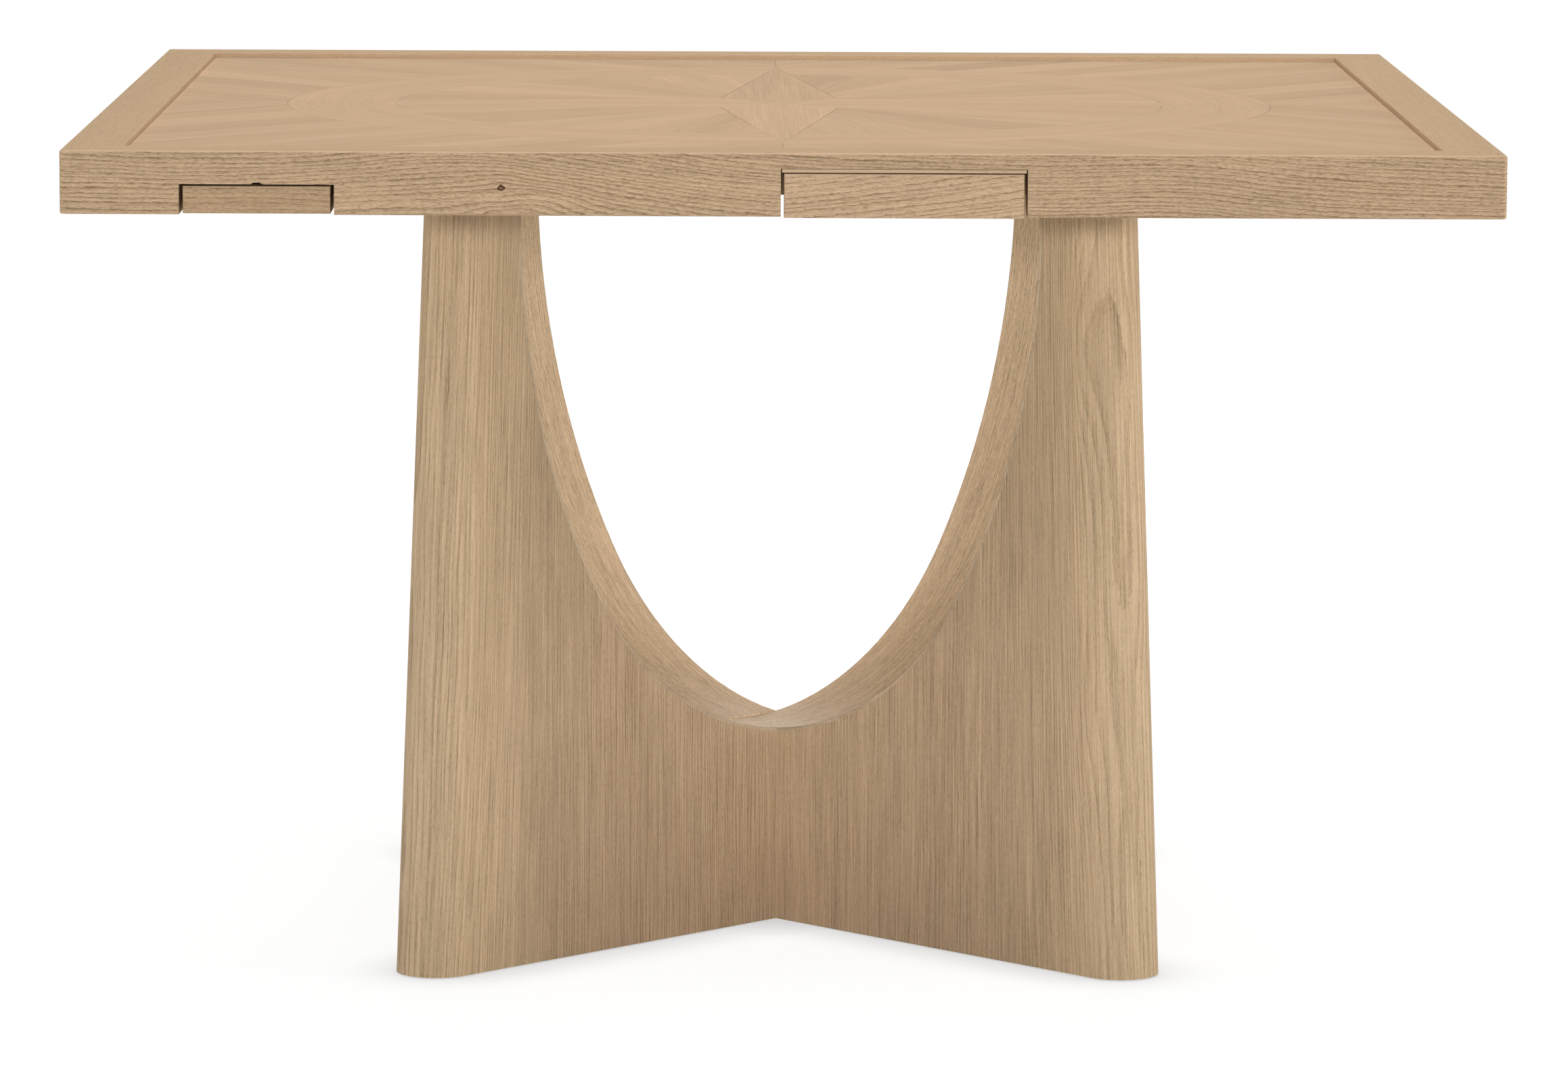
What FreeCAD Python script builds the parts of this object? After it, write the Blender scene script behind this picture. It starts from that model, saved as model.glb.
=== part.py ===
import FreeCAD, Part
import math
import os

import Sketcher

# Square games table: a raised mitred rim around a recessed parquetry playing panel, four shallow
# drawers and four pull-out cup slides (one of each per side), on a base of two crossed arch panels.
# Millimetres, +Z up, origin on the floor under the middle of the table; the front faces -Y.

V = FreeCAD.Vector
ROOT_HALF = math.sqrt(0.5)
QUARTER = 90  # degrees between neighbouring sides
DIAGONAL = 45  # degrees to the legs
ARCH_JOIN = math.radians(57)  # slope of the arch where its low curve meets the side curves
OVERCUT = 1  # cuts run on past the faces that they open
SIDES = ("front", "right", "back", "left")
LEGS = ("back_right", "back_left", "front_left", "front_right")

SIZES = (
    ("table_side", 1219, "outside length of each side of the rim"),
    ("table_height", 762, "floor to the top of the rim"),
    ("rail_height", 54, "height of the rim rails"),
    ("rail_width", 50, "width of the rim seen from above"),
    ("rail_corner_radius", 4, "rounding of the four outside corners in plan"),
    ("rail_edge_round", 2, "easing of the outer and inner rim edges"),
    ("recess_depth", 4.8, "playing surface below the rim"),
    ("veneer_thickness", 2, "parquetry"),
    ("core_thickness", 15, "board under the parquetry"),
    ("panel_clearance", 0.5, "gap between the panel and the rails"),
    ("veneer_joint", 0.3, "hairline between neighbouring parquetry pieces"),
    ("ring_margin", 106, "panel edge to the ring, on the centre lines"),
    ("ring_width", 100, "width of the parquetry ring"),
    ("star_shoulder", 54, "offset of the star's inner corners along both axes"),
    ("corner_board_width", 58, "boards of the four corner fields"),
    ("mitre_key_width", 30, "key across each mitre"),
    ("mitre_key_length", 24, "key along each mitre"),
    ("mitre_key_thickness", 6, "key height"),
    ("bearer_width", 90, "bearers under the panel"),
    ("bearer_thickness", 18, "bearers under the panel"),
    ("cleat_width", 20, "ledger cleats on the rails"),
    ("cleat_gap", 6, "free space at the ends of the cleats"),
    ("panel_thickness", 72, "crossed base panels"),
    ("leg_inset", 431, "leg top in from the corner of the rim, on the diagonal"),
    ("arch_spring_height", 670, "height where the arch starts to curve"),
    ("saddle_height", 178.6, "lowest point of the arch"),
    ("lipping_thickness", 3, "band lining the arch"),
    ("lipping_round", 1.2, "easing of the arch edges"),
    ("leg_top_width", 70, "leg width along the panel, at the top"),
    ("leg_spread", 37, "how far the foot stands out beyond the leg's top"),
    ("foot_gap", 1.2, "base above the floor"),
    ("glide_diameter", 30, "foot glides"),
    ("glide_pin_diameter", 8, "pin of a glide"),
    ("glide_pin_length", 18, "pin of a glide"),
    ("plate_thickness", 6, "steel plates on the legs"),
    ("plate_length", 136, "plate across the leg"),
    ("plate_width", 76, "plate along the leg"),
    ("bolt_diameter", 8, "bolts up into the bearers"),
    ("bolt_head_diameter", 13, "bolt heads"),
    ("bolt_head_height", 5, "bolt heads"),
    ("bolt_hole_diameter", 9, "bolt holes in the plates"),
    ("bolt_spacing_across", 108, "bolt pattern across the leg"),
    ("bolt_spacing_along", 40, "bolt pattern along the leg"),
    ("insert_diameter", 12, "threaded inserts in the bearers"),
    ("insert_length", 14, "threaded inserts in the bearers"),
    ("bolt_end_gap", 2, "bolt tip below the end of its insert"),
    ("screw_diameter", 6, "screws from the plates into the legs"),
    ("screw_head_diameter", 11, "countersunk heads"),
    ("screw_length", 50, "screws from the plates into the legs"),
    ("screw_spacing_across", 34, "screw pattern across the leg"),
    ("screw_spacing_along", 32, "screw pattern along the leg"),
    ("drawer_opening_width", 208, "notch in the rail"),
    ("drawer_opening_height", 40.8, "notch in the rail"),
    ("drawer_gap", 2.75, "gap each side of a drawer front"),
    ("drawer_front_height", 37.3, "drawer fronts"),
    ("drawer_front_thickness", 20, "drawer fronts"),
    ("drawer_front_round", 1.2, "easing of the drawer front's face"),
    ("drawer_drop", 1, "drawer front below the rail"),
    ("drawer_inset", 10.5, "drawer side in from the end of the front"),
    ("drawer_side_thickness", 12, "drawer sides"),
    ("drawer_side_height", 26, "drawer sides"),
    ("drawer_side_housing", 6, "drawer side let into the front"),
    ("drawer_headroom", 3, "drawer side below the panel"),
    ("drawer_back_thickness", 10, "drawer backs"),
    ("drawer_bottom_thickness", 4, "drawer bottoms"),
    ("drawer_bottom_lift", 3, "bottom groove above the side's lower edge"),
    ("drawer_bottom_housing", 4, "bottom let into sides and front"),
    ("drawer_back_gap", 6, "closed drawer in front of the bearer"),
    ("drawer_travel", 180, "pull-out to the stop"),
    ("stop_drop", 6, "stop block below the panel"),
    ("stop_width", 30, "stop block"),
    ("stop_length", 20, "stop block"),
    ("kicker_thickness", 3.4, "strip over the drawer front"),
    ("kicker_groove", 0.8, "shadow groove above the strip"),
    ("kicker_groove_depth", 2.5, "shadow groove above the strip"),
    ("kicker_end_gap", 1, "strip short of the opening's ends"),
    ("kicker_setback", 0.5, "strip behind the rail's face"),
    ("runner_width", 16, "drawer runners"),
    ("runner_gap", 26.3, "drawer runner beside the bearer"),
    ("runner_foot", 2.4, "runner below the tongue"),
    ("tongue_height", 5, "tongue of a runner"),
    ("tongue_depth", 4, "tongue of a runner"),
    ("slide_clearance", 0.5, "all round the tongues and beside the runners"),
    ("finger_radius", 9, "finger grooves underneath"),
    ("finger_depth", 5, "finger grooves underneath"),
    ("finger_setback", 15, "finger groove behind the cup slide's face"),
    ("drawer_finger_length", 90, "finger groove under a drawer front"),
    ("cup_finger_length", 63, "finger groove under a cup slide"),
    ("cup_margin", 165.7, "middle of a cup slide from the corner of the rim"),
    ("cup_opening_width", 130.5, "notch in the rail"),
    ("cup_opening_height", 25.7, "notch in the rail"),
    ("cup_gap", 3.2, "gap each side of a cup slide"),
    ("cup_slide_thickness", 23.1, "cup slides"),
    ("cup_slide_lift", 1, "cup slide above the rail's lower edge"),
    ("cup_slide_length", 230, "cup slides"),
    ("cup_slide_round", 1.2, "easing of the cup slide's face"),
    ("cup_diameter", 80, "recess for a glass"),
    ("cup_depth", 16, "recess for a glass"),
    ("cup_setback", 62, "middle of the recess behind the face"),
    ("cup_runner_width", 14, "cup slide runners"),
    ("cup_runner_lip", 4.6, "runner's underside above the cup slide's underside"),
    ("cup_runner_overrun", 10, "runner behind the closed cup slide"),
    ("cup_groove_lead", 3, "cup slide's groove in front of its runners"),
    ("cup_travel", 115, "pull-out to the stop dowel"),
    ("dowel_diameter", 8, "stop dowels"),
    ("dowel_length", 15, "stop dowels"),
    ("dowel_rise", 5, "stop dowel above the cup slide"),
    ("scoop_width", 10, "scoop over the middle of a cup slide"),
    ("scoop_flat", 6, "flat top of the scoop"),
    ("scoop_height", 1.4, "scoop over the middle of a cup slide"),
)

doc = FreeCAD.newDocument("GamesTable")
sheet = doc.addObject("Spreadsheet::Sheet", "Sizes")
for row, (alias, number, note) in enumerate(SIZES, start=1):
    sheet.set(f"A{row}", note)
    sheet.set(f"B{row}", str(number))
    sheet.setAlias(f"B{row}", alias)
doc.recompute()


class Dim:
    """A length with its number now and the sheet expression that it follows."""

    def __init__(self, value, text):
        self.value = float(value)
        self.text = text

    def __add__(self, other):
        other = dim(other)
        return Dim(self.value + other.value, f"({self.text} + {other.text})")

    def __sub__(self, other):
        other = dim(other)
        return Dim(self.value - other.value, f"({self.text} - {other.text})")

    def __mul__(self, other):
        other = dim(other)
        return Dim(self.value * other.value, f"({self.text} * {other.text})")

    def __truediv__(self, other):
        other = dim(other)
        return Dim(self.value / other.value, f"({self.text} / {other.text})")

    def __neg__(self):
        return Dim(-self.value, f"(0 - {self.text})")

    def __radd__(self, other):
        return dim(other) + self

    def __rsub__(self, other):
        return dim(other) - self

    def __rmul__(self, other):
        return dim(other) * self


def dim(number):
    return number if isinstance(number, Dim) else Dim(number, f"({number:.9g})")


def size(alias):
    return Dim(sheet.get(alias), f"Sizes.{alias}")


def bind(obj, prop, length):
    """Ties a property to the sheet."""
    obj.setExpression(prop, dim(length).text)


def origin_feature(body, role):
    return next(f for f in body.Origin.OriginFeatures if f.Role == role)


def new_body(label, turn=0.0):
    """A body that is drawn at the front, or along +X for the base, and turned about the table's axis."""
    body = doc.addObject("PartDesign::Body", label)
    body.Label = label
    body.Placement = FreeCAD.Placement(V(), FreeCAD.Rotation(V(0, 0, 1), turn))
    return body


def new_sketch(body, plane="XY", offset=0):
    sketch = body.newObject("Sketcher::SketchObject", f"{body.Name}_sketch")
    sketch.AttachmentSupport = (origin_feature(body, f"{plane}_Plane"), "")
    sketch.MapMode = "FlatFace"
    offset = dim(offset)
    sketch.AttachmentOffset = FreeCAD.Placement(V(0, 0, offset.value), FreeCAD.Rotation())
    bind(sketch, "AttachmentOffset.Base.z", offset)
    return sketch


def constrain(sketch, kind, *args):
    """Adds a constraint; a length at the end of the arguments is tied to the sheet."""
    if args and isinstance(args[-1], Dim):
        index = sketch.addConstraint(Sketcher.Constraint(kind, *args[:-1], args[-1].value))
        sketch.setExpression(f"Constraints[{index}]", args[-1].text)
    else:
        sketch.addConstraint(Sketcher.Constraint(kind, *args))


def rectangle(sketch, x0, x1, y0, y1):
    x0, x1, y0, y1 = dim(x0), dim(x1), dim(y0), dim(y1)
    corners = [V(x.value, y.value, 0) for x, y in ((x0, y0), (x1, y0), (x1, y1), (x0, y1))]
    sides = [sketch.addGeometry(Part.LineSegment(corners[i], corners[(i + 1) % 4])) for i in range(4)]
    for i in range(4):
        constrain(sketch, "Coincident", sides[i], 2, sides[(i + 1) % 4], 1)
        constrain(sketch, "Vertical" if i % 2 else "Horizontal", sides[i])
    constrain(sketch, "DistanceX", -1, 1, sides[0], 1, x0)
    constrain(sketch, "DistanceX", -1, 1, sides[0], 2, x1)
    constrain(sketch, "DistanceY", -1, 1, sides[0], 1, y0)
    constrain(sketch, "DistanceY", -1, 1, sides[2], 1, y1)


def circle(sketch, x, y, diameter):
    x, y, diameter = dim(x), dim(y), dim(diameter)
    ring = sketch.addGeometry(Part.Circle(V(x.value, y.value, 0), V(0, 0, 1), diameter.value / 2))
    constrain(sketch, "DistanceX", -1, 1, ring, 3, x)
    constrain(sketch, "DistanceY", -1, 1, ring, 3, y)
    constrain(sketch, "Diameter", ring, diameter)


def profile(sketch, points, arcs=()):
    """A closed outline; arcs maps a point's index to the (centre, radius) of a counter-clockwise arc."""
    arcs = dict(arcs)
    points = [(dim(x), dim(y)) for x, y in points]
    ends = [V(x.value, y.value, 0) for x, y in points]
    count = len(points)
    edges = []
    for i in range(count):
        start, end = ends[i], ends[(i + 1) % count]
        if i in arcs:
            centre = V(dim(arcs[i][0][0]).value, dim(arcs[i][0][1]).value, 0)
            round_part = Part.Circle(centre, V(0, 0, 1), arcs[i][1].value)
            angles = [math.atan2(p.y - centre.y, p.x - centre.x) for p in (start, end)]
            if angles[1] <= angles[0]:
                angles[1] += 2 * math.pi
            edges.append(sketch.addGeometry(Part.ArcOfCircle(round_part, *angles)))
        else:
            edges.append(sketch.addGeometry(Part.LineSegment(start, end)))
    for i in range(count):
        constrain(sketch, "Coincident", edges[i], 2, edges[(i + 1) % count], 1)
        constrain(sketch, "DistanceX", -1, 1, edges[i], 1, points[i][0])
        constrain(sketch, "DistanceY", -1, 1, edges[i], 1, points[i][1])
        if i in arcs:
            level = abs(ends[i].y - ends[(i + 1) % count].y) < 1e-9
            along, place = ("DistanceY", 1) if level else ("DistanceX", 0)
            constrain(sketch, along, -1, 1, edges[i], 3, dim(arcs[i][0][place]))


def pad(body, sketch, length, symmetric=False):
    """Material from the sketch towards its normal, or half of it on either side."""
    feature = body.newObject("PartDesign::Pad", f"{body.Name}_pad")
    feature.Profile = sketch
    if symmetric:
        feature.SideType = "Symmetric"
    bind(feature, "Length", length)
    doc.recompute()
    return feature


def pocket(body, sketch, length, symmetric=False):
    """A cut from the sketch against its normal, or half of it on either side."""
    before = body.Shape.Volume
    feature = body.newObject("PartDesign::Pocket", f"{body.Name}_pocket")
    feature.Profile = sketch
    if symmetric:
        feature.SideType = "Symmetric"
    bind(feature, "Length", length)
    doc.recompute()
    if body.Shape.Volume > before - 1e-3:
        raise RuntimeError(f"{feature.Name} cuts nothing from {body.Label}")
    return feature


def block(body, x0, x1, y0, y1, z0, z1):
    sketch = new_sketch(body, "XY", z0)
    rectangle(sketch, x0, x1, y0, y1)
    return pad(body, sketch, dim(z1) - z0)


def cut_block(body, x0, x1, y0, y1, z0, z1):
    sketch = new_sketch(body, "XY", z1)
    rectangle(sketch, x0, x1, y0, y1)
    return pocket(body, sketch, dim(z1) - z0)


def drill(body, centres, diameter, z0, z1):
    sketch = new_sketch(body, "XY", z1)
    for x, y in centres:
        circle(sketch, x, y, diameter)
    return pocket(body, sketch, dim(z1) - z0)


def turned(body, x, y, outline):
    """A solid of revolution about the upright axis through (x, y); outline gives radius and height."""
    sketch = new_sketch(body, "XZ", -dim(y))
    profile(sketch, [(dim(x) + radius, height) for radius, height in outline])
    axis = sketch.addGeometry(Part.LineSegment(V(dim(x).value, 0, 0), V(dim(x).value, z_top.value, 0)), True)
    constrain(sketch, "Vertical", axis)
    constrain(sketch, "DistanceX", -1, 1, axis, 1, dim(x))
    constrain(sketch, "DistanceY", -1, 1, axis, 1, dim(0))
    constrain(sketch, "DistanceY", axis, 1, axis, 2, z_top)
    feature = body.newObject("PartDesign::Revolution", f"{body.Name}_turned")
    feature.Profile = sketch
    feature.ReferenceAxis = (sketch, ["Axis0"])
    feature.Angle = 360
    doc.recompute()
    return feature


def soften(body, radius, chosen, kind="Fillet"):
    """Rounds the edges that the test picks."""
    base = body.Tip
    names = [f"Edge{i}" for i, edge in enumerate(base.Shape.Edges, start=1) if chosen(edge)]
    if not names:
        raise RuntimeError(f"no edge to soften on {body.Label}")
    feature = body.newObject(f"PartDesign::{kind}", f"{body.Name}_{kind.lower()}")
    feature.Base = (base, names)
    bind(feature, "Radius" if kind == "Fillet" else "Size", radius)
    doc.recompute()
    return feature


def lies(edge, **limits):
    """True when the whole edge lies at the given coordinates, in the body's own frame."""
    box = edge.BoundBox
    spans = {"x": (box.XMin, box.XMax), "y": (box.YMin, box.YMax), "z": (box.ZMin, box.ZMax)}
    return all(abs(end - dim(limits[axis]).value) < 1e-4 for axis in limits for end in spans[axis])


def compound(label, members):
    group = doc.addObject("Part::Compound", label)
    group.Label = label
    group.Links = members
    doc.recompute()
    return group


def turned_copy(member, turn):
    copy = doc.addObject("App::Link", f"{member.Name}_copy")
    copy.LinkedObject = member
    copy.Placement = FreeCAD.Placement(V(), FreeCAD.Rotation(V(0, 0, 1), turn)) * member.Placement
    return copy


def four_fold(label, members):
    """One node with the members repeated on all four sides of the table."""
    return compound(label, members + [turned_copy(m, QUARTER * k) for k in (1, 2, 3) for m in members])


parts = []

# Levels and plan lines that several pieces share.
half_side = size("table_side") / 2
rail_inner = half_side - size("rail_width")
z_top = size("table_height")
z_rail = z_top - size("rail_height")
z_panel = z_top - size("recess_depth")
z_core = z_panel - size("veneer_thickness")
z_under = z_core - size("core_thickness")
z_bearer = z_under - size("bearer_thickness")
z_leg = z_bearer - size("plate_thickness")
z_foot = size("foot_gap")
half_panel = rail_inner - size("panel_clearance")

leg_out = half_side / ROOT_HALF - size("leg_inset")
leg_mid = leg_out - size("leg_top_width") / 2
arch_half_width = leg_out - size("leg_top_width")
half_bearer = size("bearer_width") / 2
bearer_line = leg_mid * ROOT_HALF
bearer_front = bearer_line + half_bearer
bearer_inner = bearer_line - half_bearer

runner_reach = size("slide_clearance") + size("runner_width")
box_half = size("drawer_opening_width") / 2 - size("drawer_gap") - size("drawer_inset")
box_right = bearer_inner - size("runner_gap") - runner_reach
drawer_offset = box_right - box_half
box_left = drawer_offset - box_half
drawer_left = drawer_offset - size("drawer_opening_width") / 2
drawer_right = drawer_offset + size("drawer_opening_width") / 2
drawer_roof = z_rail + size("drawer_opening_height")
cup_offset = half_side - size("cup_margin")
cup_mid = -cup_offset
cup_left = cup_mid - size("cup_opening_width") / 2
cup_right = cup_mid + size("cup_opening_width") / 2
cup_roof = z_rail + size("cup_opening_height")

box_back = -bearer_front - size("drawer_back_gap")
box_top = z_under - size("drawer_headroom")
box_bottom = box_top - size("drawer_side_height")
front_back = -half_side + size("drawer_front_thickness")
tongue_bottom = z_bearer + size("runner_foot")
tongue_top = tongue_bottom + size("tongue_height")
floor_bottom = box_bottom + size("drawer_bottom_lift")
floor_top = floor_bottom + size("drawer_bottom_thickness")

cup_half = size("cup_opening_width") / 2 - size("cup_gap")
slide_left = cup_mid - cup_half
slide_right = cup_mid + cup_half
slide_bottom = z_rail + size("cup_slide_lift")
slide_top = slide_bottom + size("cup_slide_thickness")
slide_back = -half_side + size("cup_slide_length")
cup_tongue_bottom = slide_bottom + size("cup_runner_lip") + size("runner_foot")
cup_tongue_top = cup_tongue_bottom + size("tongue_height")
dowel_line = -rail_inner + size("cup_travel") + size("dowel_diameter") / 2


# Rim rails, mitred at 45 degrees, notched from below for the drawer and the cup slide.
def key_outline(corner_x, corner_y, slope):
    """The mitre key in plan: its long way crosses a mitre that runs along (1, slope)."""
    along = size("mitre_key_length") / 2 * ROOT_HALF
    across = size("mitre_key_width") / 2 * ROOT_HALF
    steps = ((-1, -1), (1, -1), (1, 1), (-1, 1))
    return [(corner_x + along * a - across * b * slope, corner_y + along * a * slope + across * b)
            for a, b in steps]


key_mid = half_side - size("rail_width") / 2
key_bottom = z_rail + size("rail_height") / 2 - size("mitre_key_thickness") / 2
key_top = key_bottom + size("mitre_key_thickness")

for k, side in enumerate(SIDES):
    rail = new_body(f"rail_{side}", QUARTER * k)
    radius = size("rail_corner_radius")
    bend = half_side - radius
    tip = bend + radius * ROOT_HALF
    outline = new_sketch(rail, "XY", z_rail)
    profile(outline,
            [(-tip, -tip), (-bend, -half_side), (bend, -half_side), (tip, -tip),
             (rail_inner, -rail_inner), (-rail_inner, -rail_inner)],
            {0: ((-bend, -bend), radius), 2: ((bend, -bend), radius)})
    pad(rail, outline, size("rail_height"))
    soften(rail, size("rail_edge_round"),
           lambda e: (lies(e, z=z_top) or lies(e, z=z_rail)) and e.BoundBox.YMax < -tip.value + 1e-3)
    soften(rail, size("rail_edge_round") / 2, lambda e: lies(e, z=z_top, y=-rail_inner))
    for x0, x1, roof in ((drawer_left, drawer_right, drawer_roof), (cup_left, cup_right, cup_roof)):
        cut_block(rail, x0, x1, -half_side - OVERCUT, OVERCUT - rail_inner, z_rail - OVERCUT, roof)
    scoop = new_sketch(rail, "XZ", half_side + OVERCUT)
    half, flat = size("scoop_width") / 2, size("scoop_flat") / 2
    mouth, crest = cup_roof - OVERCUT, cup_roof + size("scoop_height")
    profile(scoop, [(cup_mid - half, mouth), (cup_mid + half, mouth), (cup_mid + half, cup_roof),
                    (cup_mid + flat, crest), (cup_mid - flat, crest), (cup_mid - half, cup_roof)])
    pocket(rail, scoop, size("rail_width") + 2 * OVERCUT)
    for slope, sign in ((-1, 1), (1, -1)):
        slot = new_sketch(rail, "XY", key_top)
        profile(slot, key_outline(key_mid * sign, -key_mid, slope))
        pocket(rail, slot, size("mitre_key_thickness"))
    parts.append(rail)

mitre_key = new_body("mitre_key")
key = new_sketch(mitre_key, "XY", key_bottom)
profile(key, key_outline(key_mid, -key_mid, -1))
pad(mitre_key, key, size("mitre_key_thickness"))
parts.append(four_fold("mitre_keys", [mitre_key]))

# Board under the parquetry.
core = new_body("panel_core")
block(core, -half_panel, half_panel, -half_panel, half_panel, z_under, z_core)
parts.append(core)

# Parquetry: a four-point star whose tips touch the outside of a ring, a sunburst of sixteen wedges
# inside the ring, and four corner fields of diagonal boards. Neighbours stay a hairline apart.
joint = size("veneer_joint")
ring_outer = half_panel - size("ring_margin")
ring_inner = ring_outer - size("ring_width")
shoulder = size("star_shoulder")
WEDGE = QUARTER / 4


def veneer(piece):
    bind(piece, "Height", size("veneer_thickness"))
    bind(piece, "Placement.Base.z", z_core)
    return piece


def sector(label, radius, start, sweep):
    """A slice of a disc, from an angle to an angle, less the hairline at its outer edge."""
    piece = doc.addObject("Part::Cylinder", label)
    piece.Placement = FreeCAD.Placement(V(), FreeCAD.Rotation(V(0, 0, 1), start))
    bind(piece, "Radius", radius)
    bind(piece, "Angle", sweep - joint / ring_inner * math.degrees(1))
    return veneer(piece)


def disc(label, radius):
    piece = doc.addObject("Part::Cylinder", label)
    bind(piece, "Radius", radius)
    return veneer(piece)


def boolean(kind, label, base, tool):
    piece = doc.addObject(f"Part::{kind}", label)
    piece.Base, piece.Tool = base, tool
    return piece


star_arm = new_body("star_arm")
arm = new_sketch(star_arm, "XY", z_core)
profile(arm, [(0, joint), (shoulder - joint, shoulder),
              (0, ring_outer - joint), (joint - shoulder, shoulder)])
pad(star_arm, arm, size("veneer_thickness"))
parts.append(four_fold("star", [star_arm]))

star_room = new_body("star_room")
room = new_sketch(star_room, "XY", z_core)
reach, elbow = ring_outer + joint * 2, shoulder + joint
profile(room, [(reach, 0), (elbow, elbow), (0, reach), (-elbow, elbow),
               (-reach, 0), (-elbow, -elbow), (0, -reach), (elbow, -elbow)])
pad(star_room, room, size("veneer_thickness"))

wedges = []
for k in range(4):
    slice_ = sector(f"wedge_blank_{k}", ring_inner - joint / 2, WEDGE * k, WEDGE)
    wedges.append(boolean("Cut", f"wedge_{k}", slice_, star_room))
parts.append(four_fold("sunburst_light", wedges[0::2]))
parts.append(four_fold("sunburst_dark", wedges[1::2]))

quarter = sector("ring_blank", ring_outer - joint / 2, 0, QUARTER)
hub = disc("ring_hub", ring_inner + joint / 2)
segment = boolean("Cut", "ring_segment", boolean("Cut", "ring_quarter", quarter, hub), star_room)
parts.append(four_fold("ring", [segment]))

corner = doc.addObject("Part::Box", "corner_blank")
for prop, length in (("Length", half_panel - joint / 2), ("Width", half_panel - joint / 2),
                     ("Placement.Base.x", joint / 2), ("Placement.Base.y", joint / 2)):
    bind(corner, prop, length)
field = boolean("Cut", "corner_field", veneer(corner), disc("corner_hub", ring_outer + joint / 2))

boards = {0: [], 1: []}
board_width = size("corner_board_width")
half_count = math.ceil(half_panel.value * ROOT_HALF / board_width.value)
for i in range(-half_count, half_count):
    near = board_width * i + joint / 2
    strip = doc.addObject("Part::Box", f"board_blank_{i + half_count}")
    strip.Placement = FreeCAD.Placement(V(), FreeCAD.Rotation(V(0, 0, 1), DIAGONAL))
    for prop, length in (("Length", half_panel / ROOT_HALF), ("Width", board_width - joint),
                         ("Placement.Base.x", near * -ROOT_HALF), ("Placement.Base.y", near * ROOT_HALF)):
        bind(strip, prop, length)
    boards[i % 2].append(boolean("Common", f"board_{i + half_count}", field, veneer(strip)))
parts.append(four_fold("corner_boards_light", boards[0]))
parts.append(four_fold("corner_boards_dark", boards[1]))

# Four bearers under the panel, halved into each other over the legs, drilled for threaded inserts.
lap = z_bearer + size("bearer_thickness") / 2
bolt_far = (size("bolt_spacing_across") + size("bolt_spacing_along")) / 2 * ROOT_HALF
bolt_near = (size("bolt_spacing_across") - size("bolt_spacing_along")) / 2 * ROOT_HALF
insert_spots = [((bearer_line + bolt_far) * sign, bolt_near - bearer_line) for sign in (-1, 1)]
insert_spots += [((bearer_line - bolt_far) * sign, -bearer_line - bolt_near) for sign in (-1, 1)]
for k, side in enumerate(SIDES):
    bearer = new_body(f"bearer_{side}", QUARTER * k)
    y0, y1 = -bearer_front, -bearer_inner
    block(bearer, -rail_inner, rail_inner, y0, y1, z_bearer, z_under)
    z0, z1 = (lap, z_under) if k % 2 == 0 else (z_bearer, lap)
    for sign in (-1, 1):
        cut_block(bearer, bearer_line * sign - half_bearer, bearer_line * sign + half_bearer,
                  y0 - OVERCUT, y1 + OVERCUT, z0, z1)
    drill(bearer, insert_spots, size("insert_diameter"), z_bearer, z_bearer + size("insert_length"))
    parts.append(bearer)

# Ledger cleats on the rails, between the bearers and the drawer, and out to the corner.
cleats = []
for name, x0, x1 in (("inner", -bearer_inner, box_left - runner_reach),
                     ("outer", bearer_front, rail_inner - size("cleat_width"))):
    cleat = new_body(f"cleat_{name}")
    block(cleat, x0 + size("cleat_gap"), x1 - size("cleat_gap"),
          -rail_inner, size("cleat_width") - rail_inner, z_bearer, z_under)
    cleats.append(cleat)
parts.append(four_fold("ledger_cleats", cleats))

# Drawer runners with a tongue that carries the drawer, the stop behind the rail and the strip above.
def runner(label, face, outward, width, foot, low, high, back):
    """An L-shaped rail under the panel; face is the moving piece's side, outward its direction."""
    inner = face + size("slide_clearance") * outward
    outer = inner + width * outward
    tip = face - size("tongue_depth") * outward
    points = [(outer, foot), (inner, foot), (inner, low), (tip, low),
              (tip, high), (inner, high), (inner, z_under), (outer, z_under)]
    body = new_body(label)
    sketch = new_sketch(body, "XZ", -back)
    profile(sketch, points if outward < 0 else points[::-1])
    pad(body, sketch, back + rail_inner)
    return body


runners = [runner(f"drawer_runner_{name}", face, outward, size("runner_width"), z_bearer,
                  tongue_bottom, tongue_top, -bearer_front)
           for name, face, outward in (("left", box_left, -1), ("right", box_right, 1))]
parts.append(four_fold("drawer_runners", runners))

stop_back = box_back - size("drawer_back_thickness") - size("drawer_travel")
stop = new_body("drawer_stop")
block(stop, drawer_offset - size("stop_width") / 2, drawer_offset + size("stop_width") / 2,
      stop_back - size("stop_length"), stop_back, z_under - size("stop_drop"), z_under)
parts.append(four_fold("drawer_stops", [stop]))

kicker = new_body("drawer_kicker")
kicker_face = size("kicker_setback") - half_side
kicker_left = drawer_left + size("kicker_end_gap")
kicker_right = drawer_right - size("kicker_end_gap")
block(kicker, kicker_left, kicker_right, kicker_face, front_back,
      drawer_roof - size("kicker_thickness"), drawer_roof)
cut_block(kicker, kicker_left - OVERCUT, kicker_right + OVERCUT,
          kicker_face - OVERCUT, kicker_face + size("kicker_groove_depth"),
          drawer_roof - size("kicker_groove"), drawer_roof + OVERCUT)
parts.append(four_fold("drawer_kickers", [kicker]))

cup_runners = [runner(f"cup_runner_{name}", face, outward, size("cup_runner_width"),
                      slide_bottom + size("cup_runner_lip"), cup_tongue_bottom, cup_tongue_top,
                      slide_back + size("cup_runner_overrun"))
               for name, face, outward in (("left", slide_left, -1), ("right", slide_right, 1))]
parts.append(four_fold("cup_runners", cup_runners))

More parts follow.
